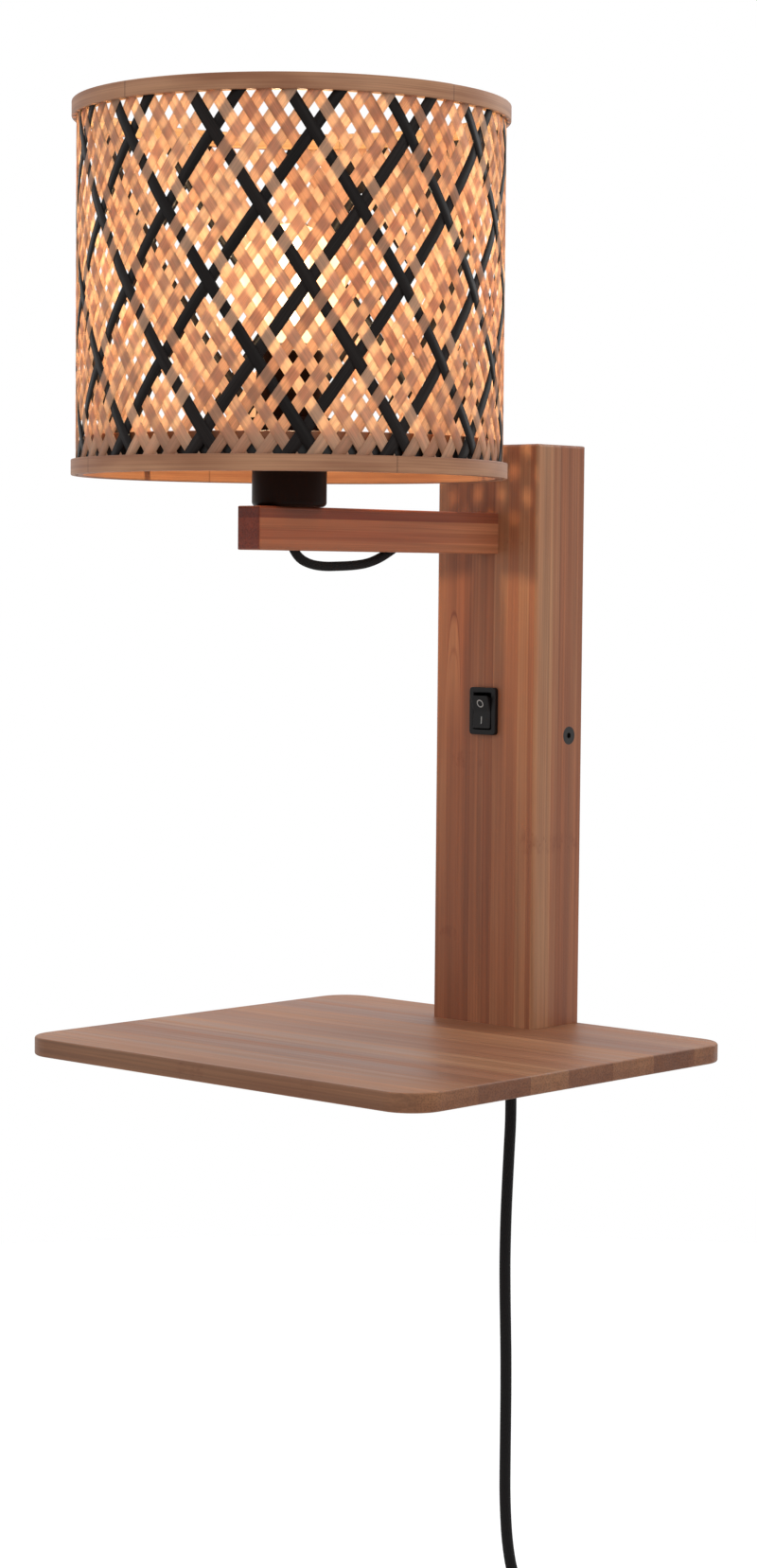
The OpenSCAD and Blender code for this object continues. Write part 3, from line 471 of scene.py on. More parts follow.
screwSteel = metalFinish("screwSteel", colour(196, 194, 188), 0.3, (600, 600, 600))
contactBrass = metalFinish("contactBrass", colour(206, 166, 92), 0.32, (300, 300, 900))
capNickel = metalFinish("capNickel", colour(200, 196, 186), 0.28, (300, 300, 900))
litGlass = litFinish("litSatinGlass", colour(255, 222, 176), colour(255, 210, 156), 1.5, 0.45)
litCore = litFinish("litCore", colour(255, 240, 205), colour(255, 232, 190), 7.0, 0)
cordBraid = braidFinish("cordBraid", colour(17, 15, 15), 16, 0.0042)
cableBraid = braidFinish("cableBraid", colour(17, 15, 15), 14, 0.0034)
strapBraid = braidFinish("strapBraid", colour(24, 23, 24), 20, 0.0016)

nodeFinishes = {
    "post": postBamboo, "shelf": shelfBamboo, "arm": armBamboo,
    "shelf_screws": screwSteel, "wall_bracket": platedSteel, "bracket_nuts": platedSteel,
    "side_screws": blackScrew, "arm_screw": screwSteel, "holder_cup": holderPlastic,
    "holder_screws": screwSteel, "socket_body": holderPlastic, "socket_contacts": contactBrass,
    "shade_ring": holderPlastic, "shade_spider": framePaint, "hoop_keeper": hoopInside,
    "bulb_tip": tipResin, "switch_terminals": contactBrass, "switch_wires": wireRubber,
    "terminal_block": ivoryPlastic, "cord_clamp": ivoryPlastic, "inner_screws": screwSteel,
    "cord_relief": cordRubber, "plug_pins": capNickel,
}
for nodeName, finish in nodeFinishes.items():
    for holder in nodes[nodeName].material_slots:
        holder.material = finish
print("finishes made and laid on the carried-over nodes")


# ---- making pieces ----

def freshVerts(result):
    return [item for item in result["geom"] if isinstance(item, bmesh.types.BMVert)]


def openEdges(shape):
    return [edge for edge in shape.edges if edge.is_boundary]


def capOpenings(shape):
    bmesh.ops.holes_fill(shape, edges=openEdges(shape), sides=0)


def faceOutward(shape):
    bmesh.ops.recalc_face_normals(shape, faces=shape.faces)


def shift(shape, verts, step):
    bmesh.ops.translate(shape, verts=verts, vec=step)


def soften(shape, geometry, size, segments, affect="EDGES"):
    bmesh.ops.bevel(shape, geom=geometry, affect=affect, offset=size, segments=segments, profile=0.5,
                    material=-1)


# A full turn round the upright axis, welded at its seam and its poles
def turnRound(shape, geometry, steps):
    bmesh.ops.spin(shape, geom=geometry, cent=(0, 0, 0), axis=(0, 0, 1), angle=2 * math.pi, steps=steps,
                   use_merge=True)
    bmesh.ops.remove_doubles(shape, verts=shape.verts, dist=1e-6)


# Takes away all that lies past a plane
def cutAway(shape, point, normal):
    bmesh.ops.bisect_plane(shape, geom=shape.verts[:] + shape.edges[:] + shape.faces[:], dist=1e-6,
                           plane_co=point, plane_no=normal, clear_outer=True)


# A closed frame of straight edges through the given corners
def addOutline(shape, corners):
    verts = [shape.verts.new(corner) for corner in corners]
    for start, end in zip(verts, verts[1:] + verts[:1]):
        shape.edges.new((start, end))


def addPiece(name, shape, finish, replaced=(), body="root", smooth=True):
    mesh = bpy.data.meshes.new(name)
    shape.to_mesh(mesh)
    shape.free()
    mesh.materials.append(finish)
    mesh.polygons.foreach_set("use_smooth", [smooth] * len(mesh.polygons))
    piece = addObject(name, mesh)
    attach(piece, body)
    if replaced:
        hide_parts(*replaced)
    return piece


# A smooth path through the route's points, with more of them between
def smoothRoute(points, parts):
    points = [Vector(p) / 1000 for p in points]
    ends = [2 * points[0] - points[1]] + points + [2 * points[-1] - points[-2]]
    path = []
    for a, b, c, d in zip(ends, ends[1:], ends[2:], ends[3:]):
        for i in range(parts):
            t = i / parts
            path.append(0.5 * (2 * b + (c - a) * t + (2 * a - 5 * b + 4 * c - d) * t * t
                               + (3 * b - a - 3 * c + d) * t ** 3))
    return path + [points[-1]]


# A tube along a path: a grid is rolled up round it, closed at its seam and capped
def sweptTube(path, radius, sideAxis):
    shape = bmesh.new()
    shape.loops.layers.uv.new("UVMap")
    bmesh.ops.create_grid(shape, x_segments=cordLook["sides"], y_segments=len(path) - 1, size=0.5,
                          calc_uvs=True)
    lengths = [0.0]
    for a, b in zip(path, path[1:]):
        lengths.append(lengths[-1] + (b - a).length)
    uvLayer = shape.loops.layers.uv.active
    for face in shape.faces:
        for loop in face.loops:
            ring = round((loop.vert.co.y + 0.5) * (len(path) - 1))
            loop[uvLayer].uv = (loop.vert.co.x + 0.5, lengths[ring])
    across = []
    for i in range(len(path)):
        heading = (path[min(i + 1, len(path) - 1)] - path[max(i - 1, 0)]).normalized()
        out = heading.cross(Vector(sideAxis)).normalized()
        across.append((out, heading.cross(out)))
    for vert in shape.verts:
        ring = round((vert.co.y + 0.5) * (len(path) - 1))
        turn = 2 * math.pi * (vert.co.x + 0.5)
        out, side = across[ring]
        vert.co = path[ring] + radius * (math.cos(turn) * out + math.sin(turn) * side)
    bmesh.ops.remove_doubles(shape, verts=shape.verts, dist=radius / 100)
    capOpenings(shape)
    faceOutward(shape)
    return shape


# ---- cords ----

cordLook = {
    "leadDiameter": 0.0052,
    "cableDiameter": 0.004,
    "coilRadius": 0.0347,
    "coilStep": 0.0057,
    "layerTurns": 2.28125,
    "layers": 4,
    "wallGap": 0.0044,
    "tail": 0.036,
    "loopRings": 40,
    "sides": 14,
    "routeParts": 4,
    "channelDepth": 0.012,
    "channelSpan": (-161, -56),
    "channelStep": 4,
}
leadRoute = [
    (0, -12, -161), (0, -12, -175), (0, -12.8, -189), (0, -13.6, -202), (0, -14.3, -215),
    (0, -14.7, -228), (0, -14.8, -241), (0, -14.5, -254), (0, -14, -267), (0, -13.5, -280),
    (0, -13.2, -293), (0, -13.1, -306), (0, -13.1, -319), (0, -13.1, -332), (0, -13, -345),
    (0, -12.2, -358), (0, -10.7, -370), (0.8, -8.6, -382), (3.3, -6.9, -388.4),
    (7.3, -5.4, -393.7), (14.9, -4.4, -401.3), (20.9, -4.4, -407.3),
]
cableRoute = [
    (0, -159, 108), (0, -159, 100), (0, -158.9, 93), (0, -158.3, 87), (0, -156.8, 81.5),
    (0, -152.5, 77), (0, -146, 74.6), (0, -138, 73.7), (0, -129, 73.8), (0, -120, 74.2),
    (0, -112, 75.1), (0, -105, 76.9), (0, -98, 79.8), (0, -91, 83.3), (0, -86, 85.1),
    (0, -80, 85.5), (0, -45, 85.5), (0, -24, 85.5), (0, -18.5, 84.2), (0, -14.8, 80.4),
    (0, -13.2, 75), (-1.2, -13, 66), (-4.5, -13, 54), (-7, -13, 43), (-8, -13, 32),
    (-8, -13, 10), (-8, -13, -8), (-6.6, -13.2, -17), (-3.8, -13.8, -24.5),
    (-1.2, -14.4, -31), (0, -14.5, -36), (0, -14.5, -41),
]


def easeInOut(value):
    value = max(0.0, min(1.0, value))
    return value * value * (3 - 2 * value)


leadPath = smoothRoute(leadRoute, cordLook["routeParts"])
leadRadius = cordLook["leadDiameter"] / 2
coilLeft = cordLook["leadDiameter"] - cordLook["coilRadius"]
coilDrop = cordLook["leadDiameter"] + cordLook["coilRadius"]
coilMiddle = Vector((leadPath[-1].x + coilLeft * math.cos(math.pi / 4), 0,
                     leadPath[-1].z - coilDrop * math.sin(math.pi / 4)))
coilInner = cordLook["coilRadius"] - cordLook["layerTurns"] * cordLook["coilStep"]
coilFront = -cordLook["wallGap"] - (cordLook["layers"] - 1) * cordLook["coilStep"]


# A place in the winding after so many turns: it spirals in and out, and climbs a layer at each reversal
def windingPlace(turns):
    inward = (turns / cordLook["layerTurns"]) % 2
    radius = cordLook["coilRadius"] - min(inward, 2 - inward) * (cordLook["coilRadius"] - coilInner)
    climbed = sum(easeInOut(2 * (turns - layer * cordLook["layerTurns"]) + 0.5)
                  for layer in range(1, cordLook["layers"]))
    depth = -cordLook["wallGap"] - cordLook["coilStep"] * climbed
    angle = math.pi / 4 - 2 * math.pi * turns
    return coilMiddle + Vector((radius * math.cos(angle), depth, radius * math.sin(angle)))


coilTurns = cordLook["layers"] * cordLook["layerTurns"]
windingSteps = round(coilTurns * cordLook["loopRings"])
winding = [windingPlace(coilTurns * i / windingSteps) for i in range(windingSteps + 1)]
coilExit = Vector((winding[-1].x, coilFront, coilMiddle.z - cordLook["tail"]))
tailPath = [winding[-1].lerp(coilExit, i / 8) for i in range(1, 9)]
wholeLead = leadPath + winding + tailPath
mainsLead = addPiece("mainsLead", sweptTube(wholeLead, leadRadius, (0.02, 0.9, 0.1)),
                     cordBraid, ["mains_cord", "cord_coil"])
channelHeights = range(*cordLook["channelSpan"], cordLook["channelStep"])
insidePath = [Vector((0, -cordLook["channelDepth"], height / 1000)) for height in channelHeights]
addPiece("leadInside", sweptTube(insidePath, leadRadius, (1, 0, 0)), cordBraid, ["lead_inside"])
cablePath = smoothRoute(cableRoute, cordLook["routeParts"])
addPiece("armCable", sweptTube(cablePath, cordLook["cableDiameter"] / 2, (1, 0, 0)),
         cableBraid, ["arm_cable"])

tieLook = {
    "turn": 120,
    "width": 0.008,
    "thickness": 0.001,
    "corner": 0.0028,
    "slack": 0.0002,
    "innerGap": 0.0007,
    "outerGap": 0.0003,
}


# A strap round the turns: a rounded frame drawn out to the strap's width
def makeTie(look):
    half = leadRadius + look["slack"]
    low = Vector((coilInner - leadRadius - look["innerGap"], coilFront - half, 0))
    high = Vector((cordLook["coilRadius"] + leadRadius + look["outerGap"], half - cordLook["wallGap"], 0))
    shape = bmesh.new()
    uvLayer = shape.loops.layers.uv.new("UVMap")
    corners = ((low.x, low.y), (high.x, low.y), (high.x, high.y), (low.x, high.y))
    addOutline(shape, [(x, y, -look["width"] / 2) for x, y in corners])
    soften(shape, shape.verts[:], look["corner"], 5, "VERTICES")
    raised = freshVerts(bmesh.ops.extrude_edge_only(shape, edges=shape.edges[:]))
    shift(shape, raised, (0, 0, look["width"]))
    for face in shape.faces:
        for loop in face.loops:
            place = loop.vert.co
            loop[uvLayer].uv = (place.z / look["width"], place.x + place.y)
    faceOutward(shape)
    bmesh.ops.solidify(shape, geom=shape.faces[:], thickness=-look["thickness"])
    faceOutward(shape)
    turn = Matrix.Rotation(math.radians(-look["turn"]), 4, "Y")
    bmesh.ops.transform(shape, matrix=Matrix.Translation(coilMiddle) @ turn, verts=shape.verts)
    return shape


coilTie = addPiece("coilTie", makeTie(tieLook), strapBraid, ["cord_tie"], smooth=False)

plugLook = {
    "width": 0.0353,
    "thickness": 0.0137,
    "length": 0.024,
    "corner": 0.0035,
    "shoulderLow": 0.43,
    "shoulderTop": 0.006,
    "ease": 0.0009,
    "ribs": (0.14, 0.27, 0.40, 0.53),
    "ribSize": (0.021, 0.0011, 0.0013),
    "ribEase": 0.0004,
    "reliefLow": 0.005,
    "reliefHigh": 0.0034,
    "reliefRings": 7,
    "reliefSides": 32,
    "ringDepth": 0.00055,
}


# The plug's body: a rounded block cut down at the shoulders, with grip ribs on both faces
def makePlug(look):
    low, high = [Vector(corner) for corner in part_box("plug_body")]
    shape = bmesh.new()
    bmesh.ops.create_grid(shape, x_segments=1, y_segments=1, size=0.5)
    bmesh.ops.scale(shape, verts=shape.verts, vec=(look["width"], look["thickness"], 1))
    soften(shape, shape.verts[:], look["corner"], 5, "VERTICES")
    raised = freshVerts(bmesh.ops.extrude_edge_only(shape, edges=shape.edges[:]))
    shift(shape, raised, (0, 0, look["length"]))
    capOpenings(shape)
    for side in (1, -1):
        base = Vector((side * look["width"] / 2, 0, look["shoulderLow"] * look["length"]))
        slope = Vector((side * look["shoulderTop"], 0, look["length"])) - base
        cutAway(shape, base, (side * slope.z, 0, abs(slope.x)))
        capOpenings(shape)
    faceOutward(shape)
    sharp = [edge for edge in shape.edges if edge.calc_face_angle(0) > 0.5]
    soften(shape, sharp, look["ease"], 3)
    for share in look["ribs"]:
        for side in (1, -1):
            rib = bmesh.ops.create_cube(shape, size=1)["verts"]
            bmesh.ops.scale(shape, verts=rib, vec=look["ribSize"])
            shift(shape, rib, (0, side * look["thickness"] / 2, share * look["length"]))
            edges = [edge for edge in shape.edges if edge.verts[0] in rib]
            soften(shape, edges, look["ribEase"], 2)
    # The ringed sleeve that the lead comes out of
    reliefLength = high.z - low.z - look["length"]
    ends = [(0, look["length"] - look["ease"])]
    for ring in range(2 * look["reliefRings"] + 1):
        share = ring / (2 * look["reliefRings"])
        radius = look["reliefLow"] + share * (look["reliefHigh"] - look["reliefLow"])
        height = look["length"] - look["ease"] * (1 - share) + share * reliefLength
        ends.append((radius - (ring % 2) * look["ringDepth"], height))
    ends.append((0, ends[-1][1]))
    profile = [shape.verts.new((x, 0, z)) for x, z in ends]
    line = [shape.edges.new(pair) for pair in zip(profile, profile[1:])]
    turnRound(shape, profile + line, look["reliefSides"])
    faceOutward(shape)
    shift(shape, shape.verts, ((low.x + high.x) / 2, (low.y + high.y) / 2, low.z))
    return shape


plug = addPiece("plug", makePlug(plugLook), cordRubber, ["plug_body"], smooth=False)


# ---- woven shade ----

shadeLook = {
    "axis": Vector((0, -0.159, 0)),
    "radius": 0.090,
    "low": 0.110,
    "height": 0.152,
    "hoopHeight": 0.0065,
    "outerHoopInside": 0.08812,
    "innerHoopOutside": 0.08738,
    "innerHoopInside": 0.0850,
    "hoopEase": 0.00045,
    "hoopSteps": 240,
    "lapTurn": 22,
    "lapStep": 0.0003,
}
weaveLook = {
    "strips": 56,
    "blackEvery": 4,
    "patternRadius": 0.0873,
    "middleRadius": 0.08775,
    "sway": 0.00015,
    "flatness": 6.0,
    "width": 0.0048,
    "thickness": 0.00026,
    "lean": 34.05,
    "skew": 18.0,
    "crossTurn": -40.55,
    "crossHeight": 0.2408,
    "low": 0.1104,
    "high": 0.2618,
    "ringsPerRow": 4,
    "cellsAcross": 2,
    "turnJitter": 0.1,
    "widthJitter": 0.05,
    "crown": 0.00002,
}
stripTurn = 360 / weaveLook["strips"]
leanAngle = math.radians(weaveLook["lean"])
rowHeight = stripTurn / 2 / math.degrees(math.tan(leanAngle) / weaveLook["patternRadius"])
stripPitch = math.radians(stripTurn) * weaveLook["patternRadius"] * math.cos(leanAngle)
halfWidth = weaveLook["width"] / 2 / stripPitch


# In and out over four rows: two crossings outside, then two inside
def weaveSway(height):
    bend = math.cos(math.pi / 2 * (height / rowHeight - 0.5))
    return math.tanh(weaveLook["flatness"] * bend) / math.tanh(weaveLook["flatness"])


# All strips of one lean and colour: each is a grid laid along its winding line, then all are cut level
def makeWeave(look, way, numbers):
    shape = bmesh.new()
    uvLayer = shape.loops.layers.uv.new("UVMap")
    toneLayer = shape.verts.layers.float.new("tone")
    firstRow = math.floor((look["low"] - look["crossHeight"]) / rowHeight) - 1
    lastRow = math.ceil((look["high"] - look["crossHeight"]) / rowHeight) + 1
    rings = (lastRow - firstRow) * look["ringsPerRow"]
    stripLength = (lastRow - firstRow) * rowHeight / math.cos(leanAngle)
    for number in numbers:
        turnOff = random.uniform(-1, 1) * look["turnJitter"]
        widthScale = 1 + random.uniform(-1, 1) * look["widthJitter"]
        tone = random.random()
        before = set(shape.verts)
        bmesh.ops.create_grid(shape, x_segments=look["cellsAcross"], y_segments=rings, size=0.5,
                              calc_uvs=True)
        strip = [vert for vert in shape.verts if vert not in before]
        for vert in strip:
            vert[toneLayer] = tone
            side = 2 * vert.co.x
            middle = (firstRow + (vert.co.y + 0.5) * (lastRow - firstRow)) * rowHeight
            height = middle + way * side * halfWidth * widthScale * rowHeight
            turn = (look["crossTurn"] + turnOff + number * stripTurn + look["skew"] * height
                    + (side * halfWidth * widthScale - way * middle / rowHeight) * stripTurn / 2)
            radius = look["middleRadius"] + way * look["sway"] * weaveSway(middle)
            radius += look["crown"] * (1 - side * side)
            turn = math.radians(turn)
            vert.co = shadeLook["axis"] + Vector((radius * math.cos(turn), radius * math.sin(turn),
                                                  look["crossHeight"] + height))
    for face in shape.faces:
        for loop in face.loops:
            u, v = loop[uvLayer].uv
            loop[uvLayer].uv = (u * look["width"], v * stripLength)
    cutAway(shape, (0, 0, look["low"]), (0, 0, -1))
    cutAway(shape, (0, 0, look["high"]), (0, 0, 1))
    inward = [face for face in shape.faces
              if face.normal.dot(face.calc_center_median() - shadeLook["axis"]) < 0]
    bmesh.ops.reverse_faces(shape, faces=inward)
    return shape


allStrips = range(weaveLook["strips"])
blackStrips = [i for i in allStrips if i % weaveLook["blackEvery"] == 0]
naturalStrips = [i for i in allStrips if i % weaveLook["blackEvery"]]
kinds = ((naturalStrip, "natural", naturalStrips), (blackStrip, "black", blackStrips))
for way, side in ((1, "left"), (-1, "right")):
    for finish, word, numbers in kinds:
        piece = addPiece(f"{side}Strips_{word}", makeWeave(weaveLook, way, numbers), finish,
                         [f"weave_{side}_{word}"])
        wall = piece.modifiers.new("thickness", "SOLIDIFY")
        wall.thickness = weaveLook["thickness"]
        wall.offset = 0
print("shade woven")


# A band of bamboo bent into a hoop, with the step of its lapped end
def makeHoop(inside, outside, low, height, seamTurn, step):
    ease = min(shadeLook["hoopEase"], (outside - inside) / 3)
    shape = bmesh.new()
    uvLayer = shape.loops.layers.uv.new("UVMap")
    corners = ((inside, low), (outside, low), (outside, low + height), (inside, low + height))
    addOutline(shape, [(x, 0, z) for x, z in corners])
    soften(shape, shape.verts[:], ease, 3, "VERTICES")
    turnRound(shape, shape.verts[:] + shape.edges[:], shadeLook["hoopSteps"])
    faceOutward(shape)
    middle = (inside + outside) / 2
    lapTurn = math.radians(shadeLook["lapTurn"])
    for vert in shape.verts:
        turn = math.atan2(vert.co.y, vert.co.x) % (2 * math.pi)
        if vert.co.to_2d().length > middle and turn < lapTurn:
            grown = vert.co.to_2d().normalized() * step * (1 - turn / lapTurn)
            vert.co.x -= grown.x
            vert.co.y -= grown.y
    for face in shape.faces:
        centre = face.calc_center_median()
        facing = math.atan2(centre.y, centre.x)
        for loop in face.loops:
            turn = math.atan2(loop.vert.co.y, loop.vert.co.x)
            if turn - facing > math.pi:
                turn -= 2 * math.pi
            if facing - turn > math.pi:
                turn += 2 * math.pi
            reach = loop.vert.co.to_2d().length
            loop[uvLayer].uv = (turn * middle, loop.vert.co.z + reach)
    place = Matrix.Translation(shadeLook["axis"]) @ Matrix.Rotation(math.radians(seamTurn), 4, "Z")
    bmesh.ops.transform(shape, matrix=place, verts=shape.verts)
    return shape


shadeTop = shadeLook["low"] + shadeLook["height"]
hoopHigh = shadeLook["hoopHeight"]
outerBand = (shadeLook["outerHoopInside"], shadeLook["radius"])
innerBand = (shadeLook["innerHoopInside"], shadeLook["innerHoopOutside"])
hoops = {
    "bottomOuterHoop": ("hoop_bottom_outer", hoopBamboo, outerBand, shadeLook["low"], hoopHigh, -18),
    "bottomInnerHoop": ("hoop_bottom_inner", hoopInside, innerBand, shadeLook["low"], hoopHigh + 0.0001, 64),
    "topOuterHoop": ("hoop_top_outer", hoopBamboo, outerBand, shadeTop - hoopHigh, hoopHigh, -1),
    "topInnerHoop": ("hoop_top_inner", hoopInsideTop, innerBand, shadeTop - hoopHigh, hoopHigh, 120),
}
for name, (node, finish, band, low, height, seam) in hoops.items():
    step = shadeLook["lapStep"] if band == outerBand else 0.0
    addPiece(name, makeHoop(*band, low, height, seam, step), finish, [node])
print("hoops bent")


# ---- switch ----

switchLook = {
    "height": 0.0105,
    "postFace": -0.033,
    "bezel": (0.0075, 0.0105),
    "proud": 0.002,
    "corner": 0.0015,
    "ease": 0.0004,
    "housing": (0.0064, 0.0094),
    "housingBack": -0.019,
    "well": (0.0051, 0.0081),
    "wellBack": -0.027,
    "rockerWidth": 0.0098,
    "rockerSide": ((0.002, -0.0048), (-0.0034, -0.0074), (-0.002, 0), (-0.0034, 0.0074), (0.002, 0.0048)),
    "hinge": (0, -0.0332, 0.0105),
    "restTilt": 7.5,
    "ringRadius": 0.0018,
    "stroke": 0.00046,
    "barLength": 0.0032,
    "markPlace": 0.0038,
    "markHeight": 0.00004,
}


# Rounds the edges that run in and out at the corners of one outline
def roundCorners(shape, halfSize, corner):
    edges = [edge for edge in shape.edges
             if all(abs(abs(vert.co.x) - halfSize[0]) + abs(abs(vert.co.z) - halfSize[1]) < 1e-5
                    for vert in edge.verts) and abs(edge.verts[0].co.y - edge.verts[1].co.y) > 1e-4]
    soften(shape, edges, corner, 5)


# The housing in one skin: the bezel's face with the well sunk in it, the bezel's side, then the body behind
def makeSwitchHousing(look):
    shape = bmesh.new()
    front = look["postFace"] - look["proud"]
    bmesh.ops.create_grid(shape, x_segments=1, y_segments=1, size=1)
    bmesh.ops.scale(shape, verts=shape.verts, vec=(*look["bezel"], 1))
    bmesh.ops.rotate(shape, verts=shape.verts, cent=(0, 0, 0), matrix=Matrix.Rotation(math.pi / 2, 3, "X"))
    shift(shape, shape.verts, (0, front, 0))
    face = shape.faces[:][0]
    bmesh.ops.inset_region(shape, faces=[face], thickness=look["bezel"][0] - look["well"][0],
                           use_boundary=True, use_even_offset=True)
    sunk = bmesh.ops.extrude_face_region(shape, geom=[face])
    shift(shape, freshVerts(sunk), (0, look["wellBack"] - front, 0))
    bmesh.ops.delete(shape, geom=[item for item in (face,) if item.is_valid], context="FACES")
    steps = [(look["proud"], (1, 1)),
             (0, (look["housing"][0] / look["bezel"][0], look["housing"][1] / look["bezel"][1])),
             (look["housingBack"] - look["postFace"], (1, 1))]
    for depth, (wide, high) in steps:
        grown = freshVerts(bmesh.ops.extrude_edge_only(shape, edges=openEdges(shape)))
        shift(shape, grown, (0, depth, 0))
        bmesh.ops.scale(shape, verts=grown, vec=(wide, 1, high))
    capOpenings(shape)
    faceOutward(shape)
    roundCorners(shape, look["bezel"], look["corner"])
    roundCorners(shape, look["well"], look["ease"])
    roundCorners(shape, look["housing"], look["ease"])
    sharp = [edge for edge in shape.edges
             if all(vert.co.y < look["postFace"] - 1e-4 for vert in edge.verts)
             and abs(edge.verts[0].co.y - edge.verts[1].co.y) < 1e-6 and edge.calc_face_angle(0) > 1]
    soften(shape, sharp, look["ease"], 3)
    shift(shape, shape.verts, (0, 0, look["height"]))
    return shape


rockerPlace = (Matrix.Translation(switchLook["hinge"])
               @ Matrix.Rotation(math.radians(switchLook["restTilt"]), 4, "X"))


def makeRocker(look):
    shape = bmesh.new()
    half = look["rockerWidth"] / 2
    side = shape.faces.new([shape.verts.new((-half, y, z)) for y, z in look["rockerSide"]])
    shift(shape, freshVerts(bmesh.ops.extrude_face_region(shape, geom=[side])), (2 * half, 0, 0))
    faceOutward(shape)
    soften(shape, shape.edges[:], look["ease"], 3)
    bmesh.ops.transform(shape, matrix=rockerPlace, verts=shape.verts)
    return shape


# The painted ring on the half that is proud and the painted bar on the half that is pressed
def makeMarks(look):
    shape = bmesh.new()
    low, middle, high = (Vector((0, *look["rockerSide"][i])) for i in (1, 2, 3))
    for end, way in ((high, 1), (low, -1)):
        before = set(shape.verts)
        if way > 0:
            for radius in (look["ringRadius"], look["ringRadius"] - look["stroke"]):
                bmesh.ops.create_circle(shape, segments=40, radius=radius)
            bmesh.ops.bridge_loops(shape, edges=shape.edges[:])
        else:
            bmesh.ops.create_grid(shape, x_segments=1, y_segments=1, size=0.5)
            made = [vert for vert in shape.verts if vert not in before]
            bmesh.ops.scale(shape, verts=made, vec=(look["stroke"], look["barLength"], 1))
        made = [vert for vert in shape.verts if vert not in before]
        up = (end - middle).normalized() * way
        out = Vector((1, 0, 0)).cross(up)
        place = middle + (end - middle).normalized() * look["markPlace"] + out * look["markHeight"]
        turn = Matrix((Vector((1, 0, 0)), up, out)).transposed().to_4x4()
        bmesh.ops.transform(shape, matrix=rockerPlace @ Matrix.Translation(place) @ turn, verts=made)
    faceOutward(shape)
    bmesh.ops.solidify(shape, geom=shape.faces[:], thickness=look["markHeight"])
    return shape


addPiece("switchHousing", makeSwitchHousing(switchLook), switchPlastic, ["switch_housing"],
         smooth=False)
addPiece("switchRocker", makeRocker(switchLook), switchPlastic, ["switch_rocker"], "rocker",
         smooth=False)
addPiece("switchMarks", makeMarks(switchLook), markPaint, body="rocker", smooth=False)
print("switch made")


# ---- bulb ----

bulbLook = {
    "ballRadius": 0.0225,
    "ballHeight": 0.1915,
    "ballArc": 134.7,
    "neckRadius": 0.0084,
    "neckTop": 0.1662,
    "neckLow": 0.163,
    "neckEase": 0.003,
    "capLow": 0.139,
    "threadTop": 0.158,
    "collarLow": 0.163,
    "collarTop": 0.165,
    "capRadius": 0.00695,
    "collarRadius": 0.009,
    "threadPitch": 0.00282,
    "threadDepth": 0.0005,
    "coreRadius": 0.0075,
    "coreReach": 0.0128,
    "coreHeight": 0.1925,
    "ballSides": 72,
    "ballRings": 30,
    "capSides": 48,
    "capRings": 84,
    "threadFade": (0.002, 0.0015),
}


def makeGlass(look):
    shape = bmesh.new()
    top = shape.verts.new((0, 0, look["ballRadius"]))
    arc = bmesh.ops.spin(shape, geom=[top], cent=(0, 0, 0), axis=(0, 1, 0), steps=look["ballRings"],
                         angle=math.radians(look["ballArc"]))
    last = [item for item in arc["geom_last"] if isinstance(item, bmesh.types.BMVert)][0]
    for height in (look["neckTop"], look["neckLow"]):
        last = bmesh.ops.extrude_vert_indiv(shape, verts=[last])["verts"][0]
        last.co = (look["neckRadius"], 0, height - look["ballHeight"])
        if height == look["neckTop"]:
            bend = last
    soften(shape, [bend], look["neckEase"], 5, "VERTICES")
    turnRound(shape, shape.verts[:] + shape.edges[:], look["ballSides"])
    capOpenings(shape)
    faceOutward(shape)
    shift(shape, shape.verts, shadeLook["axis"] + Vector((0, 0, look["ballHeight"])))
    return shape


# The screw cap: a grid rolled up round the axis, its radius following the thread, the cone and the collar
def makeCap(look):
    shape = bmesh.new()
    bmesh.ops.create_grid(shape, x_segments=look["capSides"], y_segments=look["capRings"], size=0.5)
    span = look["collarTop"] - look["capLow"]
    fadeLow, fadeHigh = look["threadFade"]
    for vert in shape.verts:
        turn = 2 * math.pi * (vert.co.x + 0.5)
        z = look["capLow"] + (vert.co.y + 0.5) * span
        wave = 0.5 - 0.5 * math.cos(2 * math.pi * z / look["threadPitch"] - turn)
        fade = max(0.0, min(1.0, (z - look["capLow"]) / fadeLow, (look["threadTop"] - z) / fadeHigh))
        radius = look["capRadius"] - look["threadDepth"] * wave * fade
        if z > look["threadTop"]:
            rise = min(1.0, (z - look["threadTop"]) / (look["collarLow"] - look["threadTop"]))
            radius += rise * (look["collarRadius"] - look["capRadius"])
        vert.co = shadeLook["axis"] + Vector((radius * math.cos(turn), radius * math.sin(turn), z))
    bmesh.ops.remove_doubles(shape, verts=shape.verts, dist=1e-6)
    capOpenings(shape)
    faceOutward(shape)
    return shape


# The bright heart of the bulb: a ball pulled long
def makeCore(look):
    shape = bmesh.new()
    bmesh.ops.create_icosphere(shape, subdivisions=4, radius=look["coreRadius"])
    for vert in shape.verts:
        vert.co.z += math.copysign(look["coreReach"], vert.co.z)
    shift(shape, shape.verts, shadeLook["axis"] + Vector((0, 0, look["coreHeight"])))
    return shape


addPiece("bulbGlass", makeGlass(bulbLook), litGlass, ["bulb_glass"], "bulb")
addPiece("bulbCore", makeCore(bulbLook), litCore, body="bulb")
addPiece("bulbCap", makeCap(bulbLook), capNickel, ["bulb_cap"], "bulb")
print("bulb made")


# ---- light ----

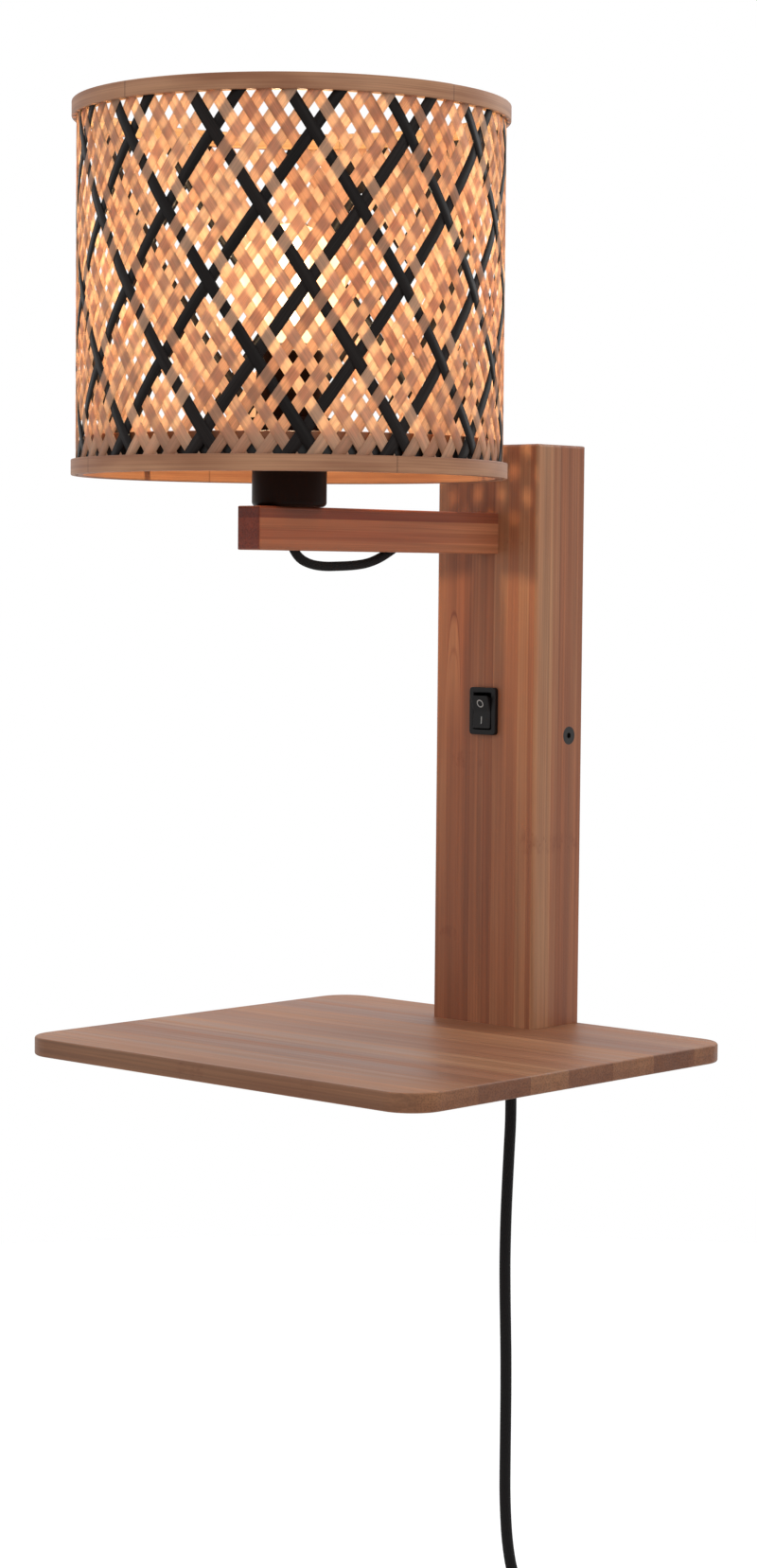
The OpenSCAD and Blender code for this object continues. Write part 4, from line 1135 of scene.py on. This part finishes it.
lightLook = {
    "roomStrength": 0.58,
    "roomColour": (0.98, 0.985, 1.0, 1),
    "floorHeight": -0.56,
    "floorRadius": 1.6,
    "floorTones": ((0.90, 0.90, 0.90, 1), (0.93, 0.93, 0.93, 1)),
    "floorGlow": 0.3,
    "bulbPower": 0.8,
    "bulbColour": (1.0, 0.79, 0.48),
    "bulbRadius": 0.0055,
    "panelAim": (0, -0.1, 0),
    "panels": [
        ((-1.1, -1.6, 1.5), 1.4, 6.8),
        ((1.8, -0.6, 0.9), 1.2, 6.6),
        ((0.2, 1.7, 1.0), 1.4, 9.0),
        ((-0.3, -0.2, 1.9), 1.0, 7.5),
    ],
}


def addLamp(name, kind, place, **settings):
    data = bpy.data.lights.new(name, kind)
    for setting, value in settings.items():
        setattr(data, setting, value)
    lamp = addObject(name, data)
    lamp.location = place
    lamp.visible_camera = False
    return lamp


def addLight(look):
    world = bpy.data.worlds.new("paleRoom")
    bpy.context.scene.world = world
    world.use_nodes = True
    tree = world.node_tree
    tree.nodes.clear()
    rays = addNode(tree, "ShaderNodeLightPath").outputs
    seen = rays["Is Camera Ray"]
    for kind in ("Is Glossy Ray", "Is Transmission Ray"):
        seen = addNode(tree, "ShaderNodeMath", {0: seen, 1: rays[kind]}, operation="MAXIMUM").outputs[0]
    room = addNode(tree, "ShaderNodeBackground",
                   {"Color": look["roomColour"], "Strength": look["roomStrength"]})
    white = addNode(tree, "ShaderNodeBackground", {"Color": (1, 1, 1, 1)})
    blend = addNode(tree, "ShaderNodeMixShader", {0: seen, 1: room.outputs[0], 2: white.outputs[0]})
    addNode(tree, "ShaderNodeOutputWorld", {0: blend.outputs[0]})

    bulb = addLamp("bulbLight", "POINT", shadeLook["axis"] + Vector((0, 0, bulbLook["ballHeight"])),
                   energy=look["bulbPower"], color=look["bulbColour"], shadow_soft_size=look["bulbRadius"],
                   use_soft_falloff=False)
    # The bulb's own glass neither stops this light nor catches it: it glows by its own finish
    itself = bpy.data.collections.new("bulbItself")
    for name in ("bulbGlass", "bulbCore"):
        itself.objects.link(bpy.data.objects[name])
    for member in itself.collection_objects:
        member.light_linking.link_state = "EXCLUDE"
    bulb.light_linking.receiver_collection = itself
    bulb.light_linking.blocker_collection = itself
    for number, (place, size, power) in enumerate(look["panels"]):
        panel = addLamp(f"softPanel{number}", "AREA", place, shape="DISK", size=size, energy=power)
        aim = Vector(look["panelAim"]) - Vector(place)
        panel.rotation_euler = aim.to_track_quat("-Z", "Y").to_euler()


addLight(lightLook)

floorShape = bmesh.new()
bmesh.ops.create_circle(floorShape, cap_ends=True, segments=96, radius=lightLook["floorRadius"])
bmesh.ops.translate(floorShape, verts=floorShape.verts, vec=(0, 0, lightLook["floorHeight"]))
floorMesh = bpy.data.meshes.new("paleFloor")
floorShape.to_mesh(floorMesh)
floorShape.free()
floor = addObject("paleFloor", floorMesh)
floorFinish = Finish("paleFloor", Roughness=0.9)
floorCloud = floorFinish.noise(floorFinish.coordinate("Object"), 3.0)
floorFinish.link(floorFinish.mix(floorCloud, *lightLook["floorTones"]), "Base Color")
# The floor is seen as white as the room behind, and keeps the lamp's shadow
floorSeen = floorFinish.node("ShaderNodeLightPath").outputs["Is Camera Ray"]
floorGlow = floorFinish.times(floorSeen, lightLook["floorGlow"])
floorGlow = floorFinish.node("ShaderNodeEmission", {"Strength": floorGlow}).outputs[0]
floorFinish.show(floorFinish.node("ShaderNodeAddShader", {0: floorFinish.shader.outputs[0], 1: floorGlow}))
floorMesh.materials.append(floorFinish.material)
print("light and floor set")

bpy.context.scene.view_settings.view_transform = "Standard"
